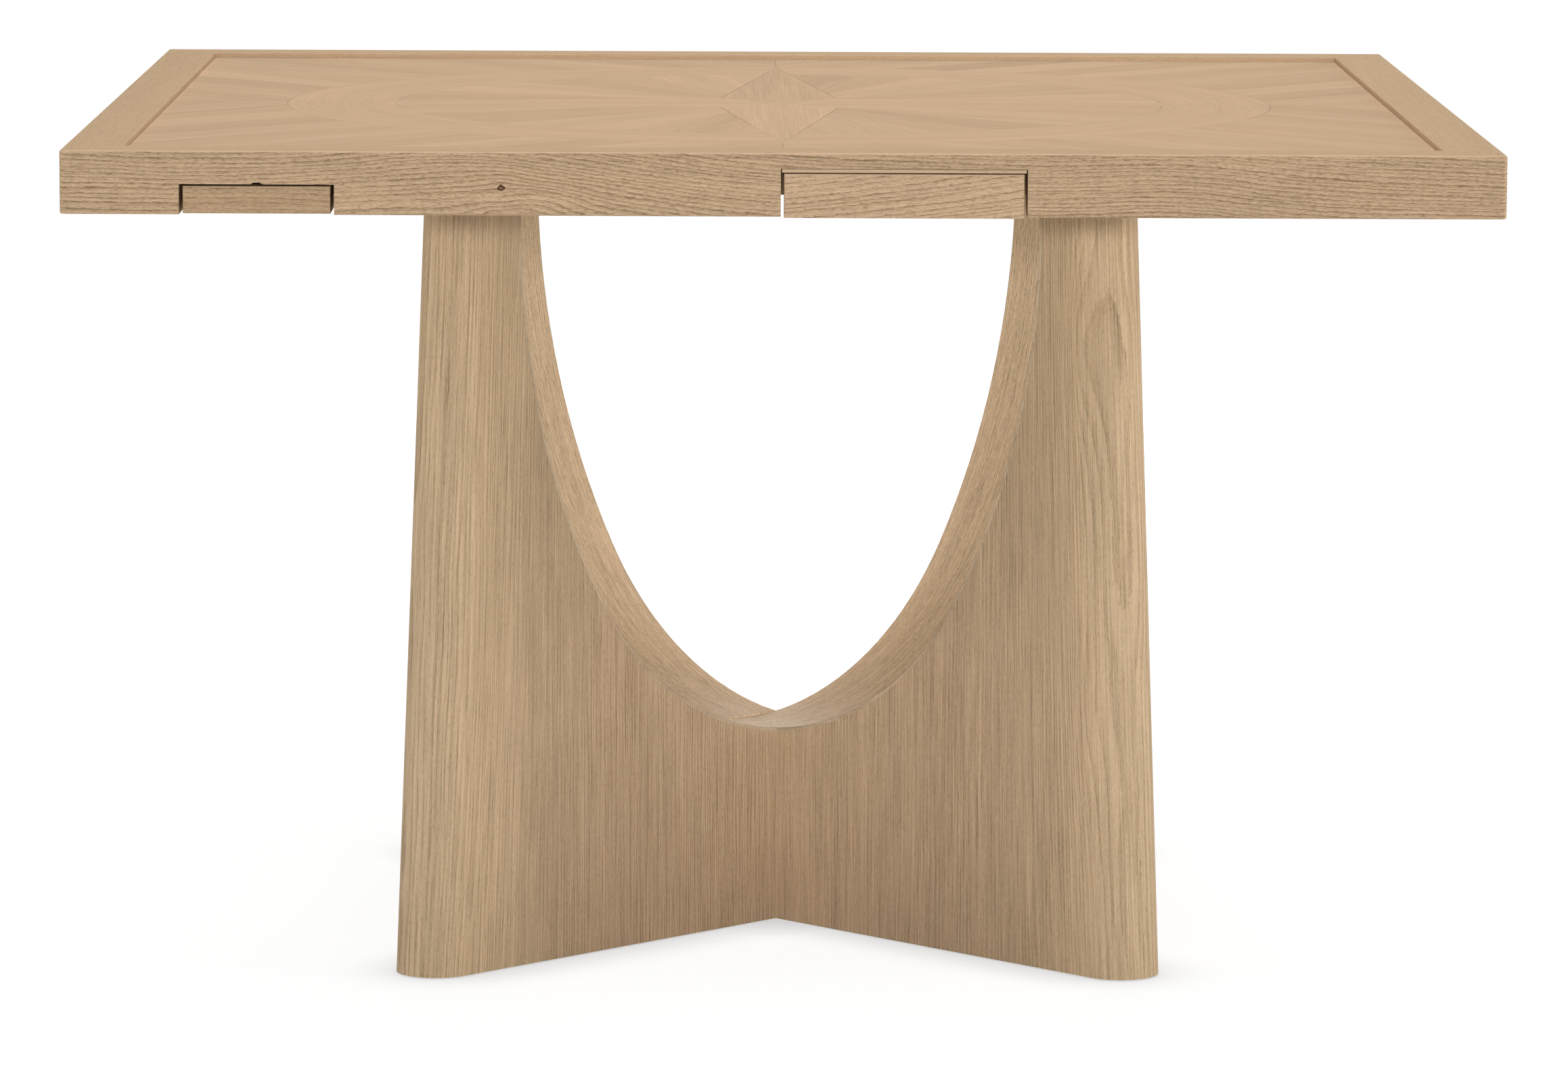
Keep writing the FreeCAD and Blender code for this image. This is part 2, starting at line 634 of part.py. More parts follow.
# Drawers: a front with the box let into it, grooved outside for the runners and inside for the bottom.
side_wall, side_room = size("drawer_side_thickness"), size("drawer_bottom_housing")
groove = size("tongue_depth") + size("slide_clearance")
front_bottom = z_rail - size("drawer_drop")


def finger_groove(body, middle, line, underside, length):
    sketch = new_sketch(body, "YZ", middle)
    circle(sketch, line, underside - size("finger_radius") + size("finger_depth"), size("finger_radius") * 2)
    pocket(body, sketch, length, symmetric=True)


for k, side in enumerate(SIDES):
    face = new_body(f"drawer_front_{side}", QUARTER * k)
    block(face, drawer_left + size("drawer_gap"), drawer_right - size("drawer_gap"), -half_side, front_back,
          front_bottom, front_bottom + size("drawer_front_height"))
    soften(face, size("drawer_front_round"), lambda e: lies(e, y=-half_side))
    for x0 in (box_left, box_right - side_wall):
        cut_block(face, x0, x0 + side_wall, front_back - size("drawer_side_housing"), front_back + OVERCUT,
                  box_bottom, box_top)
    cut_block(face, box_left + side_wall - side_room, box_right - side_wall + side_room,
              front_back - side_room, front_back + OVERCUT, floor_bottom, floor_top)
    finger_groove(face, drawer_offset, front_back - size("finger_radius"), front_bottom,
                  size("drawer_finger_length"))
    parts.append(face)

    walls = new_body(f"drawer_sides_{side}", QUARTER * k)
    y0 = front_back - size("drawer_side_housing")
    for x0 in (box_left, box_right - side_wall):
        block(walls, x0, x0 + side_wall, y0, box_back, box_bottom, box_top)
    for x0, x1 in ((box_left - OVERCUT, box_left + groove), (box_right - groove, box_right + OVERCUT)):
        cut_block(walls, x0, x1, front_back, box_back + OVERCUT,
                  tongue_bottom - size("slide_clearance"), tongue_top + size("slide_clearance"))
    for x0, x1 in ((box_left + side_wall - side_room, box_left + side_wall + OVERCUT),
                   (box_right - side_wall - OVERCUT, box_right - side_wall + side_room)):
        cut_block(walls, x0, x1, y0 - OVERCUT, box_back + OVERCUT, floor_bottom, floor_top)
    parts.append(walls)

    rear = new_body(f"drawer_back_{side}", QUARTER * k)
    block(rear, box_left + side_wall, box_right - side_wall,
          box_back - size("drawer_back_thickness"), box_back, floor_top, box_top)
    parts.append(rear)

    floor = new_body(f"drawer_bottom_{side}", QUARTER * k)
    block(floor, box_left + side_wall - side_room, box_right - side_wall + side_room,
          front_back - side_room, box_back, floor_bottom, floor_top)
    parts.append(floor)

# Cup slides: a thick board with a round recess, grooved for its runners, and a dowel that stops it.
for k, side in enumerate(SIDES):
    slide = new_body(f"cup_slide_{side}", QUARTER * k)
    block(slide, slide_left, slide_right, -half_side, slide_back, slide_bottom, slide_top)
    soften(slide, size("cup_slide_round"), lambda e: lies(e, y=-half_side))
    drill(slide, [(cup_mid, size("cup_setback") - half_side)], size("cup_diameter"),
          slide_top - size("cup_depth"), slide_top)
    for x0, x1 in ((slide_left - OVERCUT, slide_left + groove),
                   (slide_right - groove, slide_right + OVERCUT)):
        cut_block(slide, x0, x1, -rail_inner - size("cup_groove_lead"), slide_back + OVERCUT,
                  cup_tongue_bottom - size("slide_clearance"), cup_tongue_top + size("slide_clearance"))
    dowel_bottom = slide_top + size("dowel_rise") - size("dowel_length")
    drill(slide, [(cup_mid, dowel_line)], size("dowel_diameter"), dowel_bottom, slide_top)
    finger_groove(slide, cup_mid, size("finger_setback") - half_side, slide_bottom,
                  size("cup_finger_length"))
    parts.append(slide)

    dowel = new_body(f"cup_stop_{side}", QUARTER * k)
    peg = new_sketch(dowel, "XY", dowel_bottom)
    circle(peg, cup_mid, dowel_line, size("dowel_diameter"))
    pad(dowel, peg, size("dowel_length"))
    parts.append(dowel)

# Base: two arch panels halved across each other on the diagonals, each lined with a thin band.
thick = size("panel_thickness")
half_thick = thick / 2
band = size("lipping_thickness")
spring = size("arch_spring_height")
rise = spring - size("saddle_height")
arch_crown = spring + z_leg
foot_out = leg_out + size("leg_spread")
halving = (z_foot + size("saddle_height") - band) / 2
glide_line = foot_out - half_thick - size("glide_diameter")
screw_lines = (size("screw_spacing_along") / 2, size("screw_spacing_across") / 2)
screw_foot = z_bearer - size("screw_length")


def arch_outline(sketch, half_width, depth, crown):
    """An arch opening: a low curve that runs on into two flatter side curves, and straight sides above."""
    sine, cosine = math.sin(ARCH_JOIN), math.cos(ARCH_JOIN)
    low = (half_width * cosine - depth * (1 - sine)) / (sine + cosine - 1)
    side = (depth * sine - half_width * (1 - cosine)) / (sine + cosine - 1)
    bottom = spring - depth
    join_x, join_z = low * sine, bottom + low * (1 - cosine)
    profile(sketch,
            [(-half_width, spring), (-join_x, join_z), (join_x, join_z), (half_width, spring),
             (half_width, crown), (-half_width, crown)],
            {0: ((side - half_width, spring), side), 1: ((0, bottom + low), low),
             2: ((half_width - side, spring), side)})


for label, turn in (("a", DIAGONAL), ("b", DIAGONAL + QUARTER)):
    panel = new_body(f"base_panel_{label}", turn)
    outline = new_sketch(panel, "XZ")
    out, top = foot_out - half_thick, leg_out - half_thick
    profile(outline, [(-out, z_foot), (out, z_foot), (top, z_leg), (-top, z_leg)])
    pad(panel, outline, thick, symmetric=True)
    opening = new_sketch(panel, "XZ")
    arch_outline(opening, arch_half_width + band, rise + band, arch_crown)
    pocket(panel, opening, thick + 2 * OVERCUT, symmetric=True)
    z0, z1 = (z_foot - OVERCUT, halving) if label == "a" else (halving, spring)
    cut_block(panel, -half_thick, half_thick, -thick, thick, z0, z1)
    drill(panel, [((leg_mid - screw_lines[0]) * s, screw_lines[1] * v) for s in (-1, 1) for v in (-1, 1)],
          size("screw_diameter"), screw_foot, z_leg)
    drill(panel, [(glide_line * s, 0) for s in (-1, 1)], size("glide_pin_diameter"),
          z_foot, z_foot + size("glide_pin_length"))
    parts.append(panel)

    lining = new_body(f"arch_band_{label}", turn)
    outline = new_sketch(lining, "XZ")
    arch_outline(outline, arch_half_width + band, rise + band, arch_crown)
    pad(lining, outline, thick, symmetric=True)
    opening = new_sketch(lining, "XZ")
    arch_outline(opening, arch_half_width, rise, arch_crown + OVERCUT)
    pocket(lining, opening, thick + 2 * OVERCUT, symmetric=True)
    reach = arch_half_width + thick
    cut_block(lining, -reach, reach, -thick, thick, z_leg, arch_crown + OVERCUT)
    wide, low = arch_half_width, size("saddle_height").value
    soften(lining, size("lipping_round"),
           lambda e: (lies(e, y=half_thick) or lies(e, y=-half_thick))
           and (lies(e, x=wide) or lies(e, x=-wide) or abs(e.BoundBox.ZMin - low) < 1e-3))
    if label == "b":
        cut_block(lining, -half_thick, half_thick, -thick, thick, z_foot, spring)
    parts.append(lining)

# Half-round nosings on the four leg ends; they lean with the panels, so they are drawn out obliquely.
for k, leg in enumerate(LEGS):
    nosing = new_body(f"end_nosing_{leg}", DIAGONAL + QUARTER * k)
    section = new_sketch(nosing, "XY", z_foot)
    line = foot_out - half_thick
    profile(section, [(line, -half_thick), (line, half_thick)], {0: ((line, 0), half_thick)})
    lean = pad(nosing, section, z_leg - z_foot)
    lean.UseCustomVector = True
    lean.AlongSketchNormal = True
    bind(lean, "Direction.x", -size("leg_spread") / (z_leg - z_foot))
    lean.setExpression("Direction.z", "1")
    doc.recompute()
    drill(nosing, [(leg_mid + screw_lines[0], screw_lines[1] * v) for v in (-1, 1)],
          size("screw_diameter"), screw_foot, z_leg)
    parts.append(nosing)

glide = new_body("glide", DIAGONAL)
disc_edge, pin = size("glide_diameter") / 2, size("glide_pin_diameter") / 2
pin_top = z_foot + size("glide_pin_length")
turned(glide, glide_line, 0,
       [(0, 0), (disc_edge, 0), (disc_edge, z_foot), (pin, z_foot), (pin, pin_top), (0, pin_top)])
parts.append(four_fold("glides", [glide]))

# Steel plates on the legs: countersunk screws hold them down, bolts go up into the bearers.
plate = new_body("mounting_plate", DIAGONAL)
block(plate, leg_mid - size("plate_width") / 2, leg_mid + size("plate_width") / 2,
      -size("plate_length") / 2, size("plate_length") / 2, z_leg, z_bearer)
signs = [(s, v) for s in (-1, 1) for v in (-1, 1)]
bolt_lines = (size("bolt_spacing_along") / 2, size("bolt_spacing_across") / 2)
bolt_spots = [(leg_mid + bolt_lines[0] * s, bolt_lines[1] * v) for s, v in signs]
screw_spots = [(leg_mid + screw_lines[0] * s, screw_lines[1] * v) for s, v in signs]
drill(plate, bolt_spots, size("bolt_hole_diameter"), z_leg, z_bearer)
drill(plate, screw_spots, size("screw_diameter"), z_leg, z_bearer)
sink = (size("screw_head_diameter") - size("screw_diameter")) / 2
screw_hole_edge = (size("screw_diameter").value + size("bolt_hole_diameter").value) / 2
soften(plate, sink, lambda e: lies(e, z=z_bearer) and e.BoundBox.XLength < screw_hole_edge, "Chamfer")
parts.append(four_fold("mounting_plates", [plate]))

shank, head = size("bolt_diameter") / 2, size("bolt_head_diameter") / 2
sleeve, insert_top = size("insert_diameter") / 2, z_bearer + size("insert_length")
bolt_tip, bolt_foot = insert_top - size("bolt_end_gap"), z_leg - size("bolt_head_height")
stem, crown = size("screw_diameter") / 2, size("screw_head_diameter") / 2
bolts, inserts, screws = [], [], []
for x, y in bolt_spots:
    bolts.append(new_body("bolt", DIAGONAL))
    turned(bolts[-1], x, y, [(0, bolt_foot), (head, bolt_foot), (head, z_leg), (shank, z_leg),
                             (shank, bolt_tip), (0, bolt_tip)])
    inserts.append(new_body("insert", DIAGONAL))
    turned(inserts[-1], x, y, [(shank, z_bearer), (sleeve, z_bearer),
                               (sleeve, insert_top), (shank, insert_top)])
for x, y in screw_spots:
    screws.append(new_body("screw", DIAGONAL))
    turned(screws[-1], x, y, [(0, screw_foot), (stem, screw_foot), (stem, z_bearer - sink),
                              (crown, z_bearer), (0, z_bearer)])
parts.append(four_fold("plate_bolts", bolts))
parts.append(four_fold("threaded_inserts", inserts))
parts.append(four_fold("plate_screws", screws))

# Every object must have come out whole before anything is written.
doc.recompute()
for item in doc.Objects:
    if any(word in item.State for word in ("Invalid", "Error")):
        raise RuntimeError(f"{item.Label}: {item.State}")
for piece in parts:
    if piece.Shape.isNull() or not piece.Shape.isValid() or not piece.Shape.Solids:
        raise RuntimeError(f"{piece.Label} has no valid solid")

os.makedirs("parts", exist_ok=True)
for piece in parts:
    piece.Shape.exportStep(f"parts/{piece.Label}.step")
print(f"{len(parts)} parts written")
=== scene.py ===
import math

import bpy
from mathutils import Matrix, Vector


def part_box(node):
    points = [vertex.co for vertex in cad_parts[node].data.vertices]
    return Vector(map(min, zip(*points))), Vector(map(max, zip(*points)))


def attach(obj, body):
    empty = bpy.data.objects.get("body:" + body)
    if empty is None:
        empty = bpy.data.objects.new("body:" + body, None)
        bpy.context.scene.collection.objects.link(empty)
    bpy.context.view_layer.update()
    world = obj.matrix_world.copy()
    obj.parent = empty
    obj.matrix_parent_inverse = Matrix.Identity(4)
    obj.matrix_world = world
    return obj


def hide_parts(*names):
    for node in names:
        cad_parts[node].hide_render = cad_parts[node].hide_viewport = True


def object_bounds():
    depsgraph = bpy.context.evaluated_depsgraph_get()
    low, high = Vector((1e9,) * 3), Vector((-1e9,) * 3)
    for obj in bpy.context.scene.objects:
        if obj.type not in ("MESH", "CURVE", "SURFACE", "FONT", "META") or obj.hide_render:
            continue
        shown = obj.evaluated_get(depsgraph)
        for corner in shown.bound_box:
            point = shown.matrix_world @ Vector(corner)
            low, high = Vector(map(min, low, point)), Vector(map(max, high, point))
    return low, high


# Looks of a square oak games table: brushed oak rim and fronts, smooth parquetry, an arched oak base, and the
# plain timber and steel fittings underneath. Metres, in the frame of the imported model.

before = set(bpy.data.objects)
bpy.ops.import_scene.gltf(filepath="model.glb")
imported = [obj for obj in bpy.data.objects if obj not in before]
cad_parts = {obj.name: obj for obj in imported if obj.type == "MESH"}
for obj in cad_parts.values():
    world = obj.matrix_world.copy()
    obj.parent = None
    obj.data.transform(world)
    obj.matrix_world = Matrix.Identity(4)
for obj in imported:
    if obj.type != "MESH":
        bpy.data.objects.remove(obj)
cad_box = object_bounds()

# Sides of the table, those that run along x, and those that face the minus end of an axis.
SIDES = ("front", "right", "back", "left")
ALONG_X = ("front", "back")
FACING_MINUS = ("front", "left")

# Plan and height of the pieces that the materials follow.
BOARD_WIDTH = 0.058
WEDGES = 16
QUARTERS = 4
ARCH_SPRING = 0.670
ARCH_RADIUS = 0.42
PANEL_HALF = 0.036
LEG_LEAN = 0.052
LEG_LEAN_REACH = (0.28, 0.42)
STAR_SHOULDER = 0.054
RING_INNER = 0.3528
RING_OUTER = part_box("ring")[1][0]
STAR_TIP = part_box("star")[1][0]
RIM_TOP = cad_box[1][2]
RIM_FACE = cad_box[1][0]
DRAWER_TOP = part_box("drawer_front_front")[1][2]

# Colours, as linear reflectance.
OAK_RIM = (0.606, 0.432, 0.279)
OAK_FRONT = (0.645, 0.457, 0.298)
OAK_SLIDE = (0.512, 0.355, 0.220)
OAK_TOP = (0.630, 0.445, 0.292)
OAK_TOP_LIGHT = (0.636, 0.451, 0.297)
OAK_TOP_DARK = (0.600, 0.422, 0.276)
OAK_PANEL = (0.530, 0.393, 0.254)
OAK_BAND = (0.788, 0.618, 0.427)
BIRCH = (0.64, 0.50, 0.34)
PINE = (0.56, 0.42, 0.26)
KNOT = (0.085, 0.045, 0.022, 1.0)
KNOT_HEART = (0.26, 0.16, 0.085, 1.0)
BLACK_COAT = (0.03, 0.03, 0.032)
ZINC = (0.62, 0.62, 0.64)
BRASS = (0.72, 0.52, 0.24)
NYLON = (0.11, 0.085, 0.065)
WHITE = (1.0, 1.0, 1.0, 1.0)
PALE_GREY = (0.80, 0.80, 0.80, 1.0)
SHADED_GREY = (0.14, 0.14, 0.14, 1.0)


class Field:
    """A number, vector or shader that varies over a surface: a node's output with arithmetic."""

    def __init__(self, graph, socket):
        self.graph = graph
        self.socket = socket

    def math(self, operation, *others):
        return self.graph.field("ShaderNodeMath", self, *others, operation=operation)

    def __add__(self, other):
        return self.math("ADD", other)

    def __radd__(self, other):
        return self.math("ADD", other)

    def __sub__(self, other):
        return self.math("SUBTRACT", other)

    def __rsub__(self, other):
        return self.graph.field("ShaderNodeMath", other, self, operation="SUBTRACT")

    def __mul__(self, other):
        return self.math("MULTIPLY", other)

    def __truediv__(self, other):
        return self.math("DIVIDE", other)

    def floor(self):
        return self.math("FLOOR")

    def fract(self):
        return self.math("FRACT")

    def rise(self, low, high, bottom=0.0, top=1.0, shape="SMOOTHSTEP"):
        """The bottom value below low, the top value above high and a rise of the given shape between them."""
        return self.graph.field("ShaderNodeMapRange", self, low, high, bottom, top, interpolation_type=shape)

    def at_least(self, low):
        """A field from 0 to 1, brought into the range from low to 1."""
        return self * (1.0 - low) + low


class Graph:
    """A node tree that is put together from fields."""

    def __init__(self, tree):
        self.tree = tree

    def feed(self, socket, value):
        if isinstance(value, Field):
            self.tree.links.new(value.socket, socket)
        else:
            socket.default_value = value

    def field(self, kind, *inputs, output=0, **settings):
        """An output of a new node, whose first inputs get the values given."""
        node = self.tree.nodes.new(kind)
        for key, value in settings.items():
            setattr(node, key, value)
        for socket, value in zip(node.inputs, inputs):
            self.feed(socket, value)
        return Field(self, node.outputs[output])


class Shader(Graph):
    """A procedural material in the table's own coordinates."""

    def __init__(self, name):
        self.material = bpy.data.materials.new(name)
        self.material.use_nodes = True
        super().__init__(self.material.node_tree)
        self.surface = self.tree.nodes["Principled BSDF"]
        self.place = self.field("ShaderNodeTexCoord", output="Object")
        axes = self.tree.nodes.new("ShaderNodeSeparateXYZ")
        self.feed(axes.inputs[0], self.place)
        self.x, self.y, self.z = (Field(self, axes.outputs[i]) for i in range(3))

    def vector(self, x, y, z):
        return self.field("ShaderNodeCombineXYZ", x, y, z)

    def noise(self, vector, scale=1.0, detail=2.0):
        node = self.tree.nodes.new("ShaderNodeTexNoise")
        for key, value in (("Vector", vector), ("Scale", scale), ("Detail", detail)):
            self.feed(node.inputs[key], value)
        return Field(self, node.outputs[0])

    def scatter(self, seed):
        """The same value from 0 to 1 wherever the seed is the same."""
        node = self.tree.nodes.new("ShaderNodeTexWhiteNoise")
        node.noise_dimensions = "1D"
        self.feed(node.inputs["W"], seed)
        return Field(self, node.outputs["Value"])

    def tint(self, colour, red, green, blue):
        """A colour with each channel made lighter or darker by a field around 1."""
        return self.field("ShaderNodeVectorMath", colour, self.vector(red, green, blue), operation="MULTIPLY")

    def mix(self, share, first, second):
        node = self.tree.nodes.new("ShaderNodeMix")
        node.data_type = "RGBA"
        for key, value in (("Factor_Float", share), ("A_Color", first), ("B_Color", second)):
            socket = next(i for i in node.inputs if i.identifier == key)
            self.feed(socket, value)
        return Field(self, next(o for o in node.outputs if o.identifier == "Result_Color"))

    def finish(self, colour, roughness, height, bump_strength, bump_distance):
        self.feed(self.surface.inputs["Base Color"], colour)
        self.feed(self.surface.inputs["Roughness"], roughness)
        bump = self.tree.nodes.new("ShaderNodeBump")
        bump.inputs["Strength"].default_value = bump_strength
        bump.inputs["Distance"].default_value = bump_distance
        self.feed(bump.inputs["Height"], height)
        self.tree.links.new(bump.outputs["Normal"], self.surface.inputs["Normal"])
        return self.material


# Grain spaces: each gives the way along the grain, across it and into the board, a number per board, and the
# distance from the board's edge where its edges are to show.
BAND_DEPTH = 0.03  # the depth of a band is drawn in, so that its lines follow the arch
SECTOR_SEEDS = 31.0  # keeps the boards of one sector apart from those of the next
RING_SEED = 57.0


def plank(along, across, depth, seed, arris=None):
    """One straight board along an axis of the table; arris is its outer face, along whose top edge a painted
    highlight is drawn.
    """
    def space(s):
        axes = {"x": s.x, "y": s.y, "z": s.z}
        edge = None
        if arris:
            off_face = abs(arris) - axes[depth] * math.copysign(1.0, arris)
            edge = off_face.math("MAXIMUM", RIM_TOP - s.z)
        return axes[along], axes[across], axes[depth], seed, edge
    return space


def turned(s, angle):
    """The plan coordinates along and across a direction."""
    cos, sin = math.cos(math.radians(angle)), math.sin(math.radians(angle))
    return s.x * cos + s.y * sin, s.y * cos - s.x * sin


def upright(angle, seed):
    """A panel on end along a direction in plan; its edge is the crossing, and its grain leans with the legs."""
    def space(s):
        length, thickness = turned(s, angle)
        reach = length.math("ABSOLUTE")
        lean = s.z * reach.rise(*LEG_LEAN_REACH) * LEG_LEAN
        return s.z, length + lean * length.math("SIGN"), thickness, seed, reach - PANEL_HALF
    return space


def arched(angle, seed):
    """A band bent round the arch of a panel."""
    def space(s):
        length, thickness = turned(s, angle)
        height = s.z - ARCH_SPRING
        sweep = height.math("ARCTAN2", length)
        radius = (length * length + height * height).math("SQRT")
        edge = PANEL_HALF - thickness.math("ABSOLUTE")
        return sweep * ARCH_RADIUS, thickness, radius * BAND_DEPTH, seed, edge
    return space


def sectors(count, start, edge_of, board_width=None):
    """Pieces set round the table's axis, each with its grain along the middle line of its sector."""
    step = math.tau / count
    first = math.radians(start)

    def space(s):
        index = ((s.y.math("ARCTAN2", s.x) - first) / step).floor().math("FLOORED_MODULO", count)
        middle = index * step + (first + step / 2)
        cos, sin = middle.math("COSINE"), middle.math("SINE")
        along = s.x * cos + s.y * sin
        across = s.y * cos - s.x * sin
        seed = index
        if board_width:
            seed = (across / board_width).floor() + index * SECTOR_SEEDS
        return along, across, s.z, seed, edge_of(along, across)
    return space


def star_edge(along, across):
    """Distance from the edges of a star arm: its mitres at the middle and its two long sides."""
    side = across.math("ABSOLUTE")
    taper = STAR_TIP - STAR_SHOULDER
    long_side = ((STAR_TIP - along) * STAR_SHOULDER - side * taper) / math.hypot(STAR_SHOULDER, taper)
    return ((along - side) * math.sqrt(0.5)).math("MINIMUM", long_side)


def wedge_edge(along, across):
    """Distance from the two straight sides of a wedge of the sunburst."""
    half = math.pi / WEDGES
    return along * math.sin(half) - across.math("ABSOLUTE") * math.cos(half)


def board_edge(along, across):
    """Distance from the nearer long side of a corner board."""
    return (0.5 - ((across / BOARD_WIDTH).fract() - 0.5).math("ABSOLUTE")) * BOARD_WIDTH


def ring_grain(s):
    """Segments bent round the table's axis, with seams on the centre lines."""
    sweep = s.y.math("ARCTAN2", s.x)
    radius = (s.x * s.x + s.y * s.y).math("SQRT")
    edge = (radius - RING_INNER).math("MINIMUM", RING_OUTER - radius)
    seed = (sweep / (math.tau / QUARTERS)).floor() + RING_SEED
    return sweep * RING_OUTER, radius, s.z, seed, edge


# Patterns in the grain: how often each changes in a metre along the grain and across it, and its detail.
WANDER = (2.4, 9.0, 2.0)
RIPPLE = (9.0, 45.0, 1.0)
FRAY = (200.0, 420.0, 2.0)
SHAKE = (55.0, 220.0, 2.0)
PATCH = (4.0, 30.0, 2.0)
FLECK = (220.0, 1700.0, 2.0)
THREAD = (7.0, 800.0, 3.0)
STREAK = (10.0, 260.0, 3.0)
CLOUD = (1.0, 24.0, 3.0)
KNOT_RIM = (230.0, 230.0, 2.0)
DASH_PITCH, DASH_DETAIL = 1000.0, 3.0
SEED_SHIFT = 9.0

# Ranges in which a pattern, from 0 to 1, comes up from nothing to its full mark.
RING_SOFT = (0.25, 0.90)
RING_CRISP = (0.82, 0.88)
RING_END = (0.94, 0.99)
DASH_LINE = (0.44, 0.56)
DASH_PORE = (0.53, 0.63)
PATCH_MARK = (0.25, 0.65)
FLECK_MARK = (0.49, 0.62)
THREAD_MARK = (0.33, 0.67)
STREAK_MARK = (0.30, 0.70)
CLOUD_MARK = (0.25, 0.75)
KNOT_MARK = (0.36, 0.48)
HEART_MARK = (0.78, 0.95)

# How far the rings wander, bunch and fray, and what is left of them between dashes and in faint patches.
RIPPLE_SHARE = 0.3
BUNCHES_PER_RING, BUNCHING = 0.35, 2.4
FRAYED, SHAKEN = 0.42, 0.40
RING_BETWEEN_DASHES, RING_IN_FAINT_PATCH = 0.20, 0.55
PORES_OFF_RINGS = 0.4

# Knots: how far they turn the rings aside and how large they show, in knot sizes along and across.
KNOT_REACH, KNOT_TURN = (4.5, 2.4), 0.5
KNOT_SHAPE, KNOT_ROUGHNESS = (0.70, 0.58), 1.2

# Planed faces: below their edge, and beside the middle of the log, the grain fades out.
PLANED_EDGE = (0.0018, 0.0003)
PLANED_WALL = (0.010, 0.020)
PLANED_RINGS, PLANED_REST = 0.96, 0.55

# Share of red, green and blue that the dark grain takes away: it is browner than the wood round it.
DARK_GRAIN = (0.92, 1.00, 1.15)
DARKEST = 0.50

# Edges: the share of their width in the full tone, and of the grain that the edge tone takes away. On the rim's
# top arris this tone is a painted highlight; at seams it is a dark joint.
EDGE_CORE, EDGE_GRAIN_FADE = 0.4, 0.7

# Surface: threads and streaks stand up, rings and pores are sunk; pores and clouds are duller.
THREAD_RELIEF, STREAK_RELIEF, RING_RELIEF, PORE_RELIEF = 0.6, 0.4, 0.8, 0.9
PORE_DULLNESS, CLOUD_DULLNESS = 0.15, 0.10
OAK_IOR, OAK_BUMP = 1.4, 0.6
TONE_SEED = 0.5  # draws a board's tone apart from its shift


class Board:
    """A board's own directions in a shader, and the patterns that follow its grain."""

    def __init__(self, shader, space):
        self.shader = shader
        self.along, self.across, self.depth, self.seed, self.from_edge = space(shader)
        self.shift = shader.scatter(self.seed) * SEED_SHIFT

    def pattern(self, run, pitch, detail):
        """Noise that changes run times a metre along the grain and pitch times a metre across it."""
        vector = self.shader.vector(self.along * run + self.shift, self.across * pitch + self.shift,
                                    self.depth * pitch)
        return self.shader.noise(vector, detail=detail)

    def hump(self, middle, spread):
        """A smooth hump along and across the board, 1 at its middle."""
        a, c = (self.along - middle[0]) / spread[0], (self.across - middle[1]) / spread[1]
        return (a * a + c * c).math("MULTIPLY", -1.0).math("EXPONENT")

    def log_radius(self, pith, tilt, warp, swells, knots):
        """Distance from the middle of the log, raised by the swells and turned aside by the knots."""
        wander = (self.pattern(*WANDER) - 0.5) * warp + (self.pattern(*RIPPLE) - 0.5) * (warp * RIPPLE_SHARE)
        off_across = self.across + (self.along * tilt - pith[0])
        for middle, spread, lift in swells:
            off_across = off_across - self.hump(middle, spread) * lift
        off_depth = self.depth - pith[1]
        radius = (off_across * off_across + off_depth * off_depth).math("SQRT") + wander
        for middle, size in knots:
            reach = [size * share for share in KNOT_REACH]
            radius = radius - self.hump(middle, reach) * (self.across - middle[1]) * KNOT_TURN
        return radius

    def rings(self, radius, spacing, ragged, sharp, dash):
        """Growth rings: a slow rise to a sudden end, and the sharp share of them as crisp broken lines."""
        bunches = self.shader.vector(radius * (BUNCHES_PER_RING / spacing), self.shift, 0.0)
        uneven = (self.shader.noise(bunches) - 0.5) * BUNCHING
        rough = ((self.pattern(*FRAY) - 0.5) * FRAYED + (self.pattern(*SHAKE) - 0.5) * SHAKEN) * ragged
        phase = (radius / spacing + uneven + rough).fract()
        end = 1.0 - phase.rise(*RING_END)
        soft = phase.rise(*RING_SOFT) * end
        crisp = phase.rise(*RING_CRISP) * end * dash.rise(*DASH_LINE).at_least(RING_BETWEEN_DASHES)
        patch = self.pattern(*PATCH).rise(*PATCH_MARK)
        return (soft * (1.0 - sharp) + crisp * sharp) * patch.at_least(RING_IN_FAINT_PATCH)

    def planed(self, top, pith):
        """1 on a top face and beside the middle of the log, 0 elsewhere."""
        wall = 1.0 - (self.depth - pith[1]).math("ABSOLUTE").rise(*PLANED_WALL)
        return self.shader.z.rise(top - PLANED_EDGE[0], top - PLANED_EDGE[1]).math("MAXIMUM", wall)

    def with_knots(self, colour, knots):
        """A colour with a dark knot, and a paler heart in it, at each place."""
        for middle, size in knots:
            shape = [size * share for share in KNOT_SHAPE]
            heart = self.hump(middle, shape) + (self.pattern(*KNOT_RIM) - 0.5) * KNOT_ROUGHNESS
            colour = self.shader.mix(heart.rise(*KNOT_MARK), colour, KNOT)
            colour = self.shader.mix(heart.rise(*HEART_MARK), colour, KNOT_HEART)
        return colour


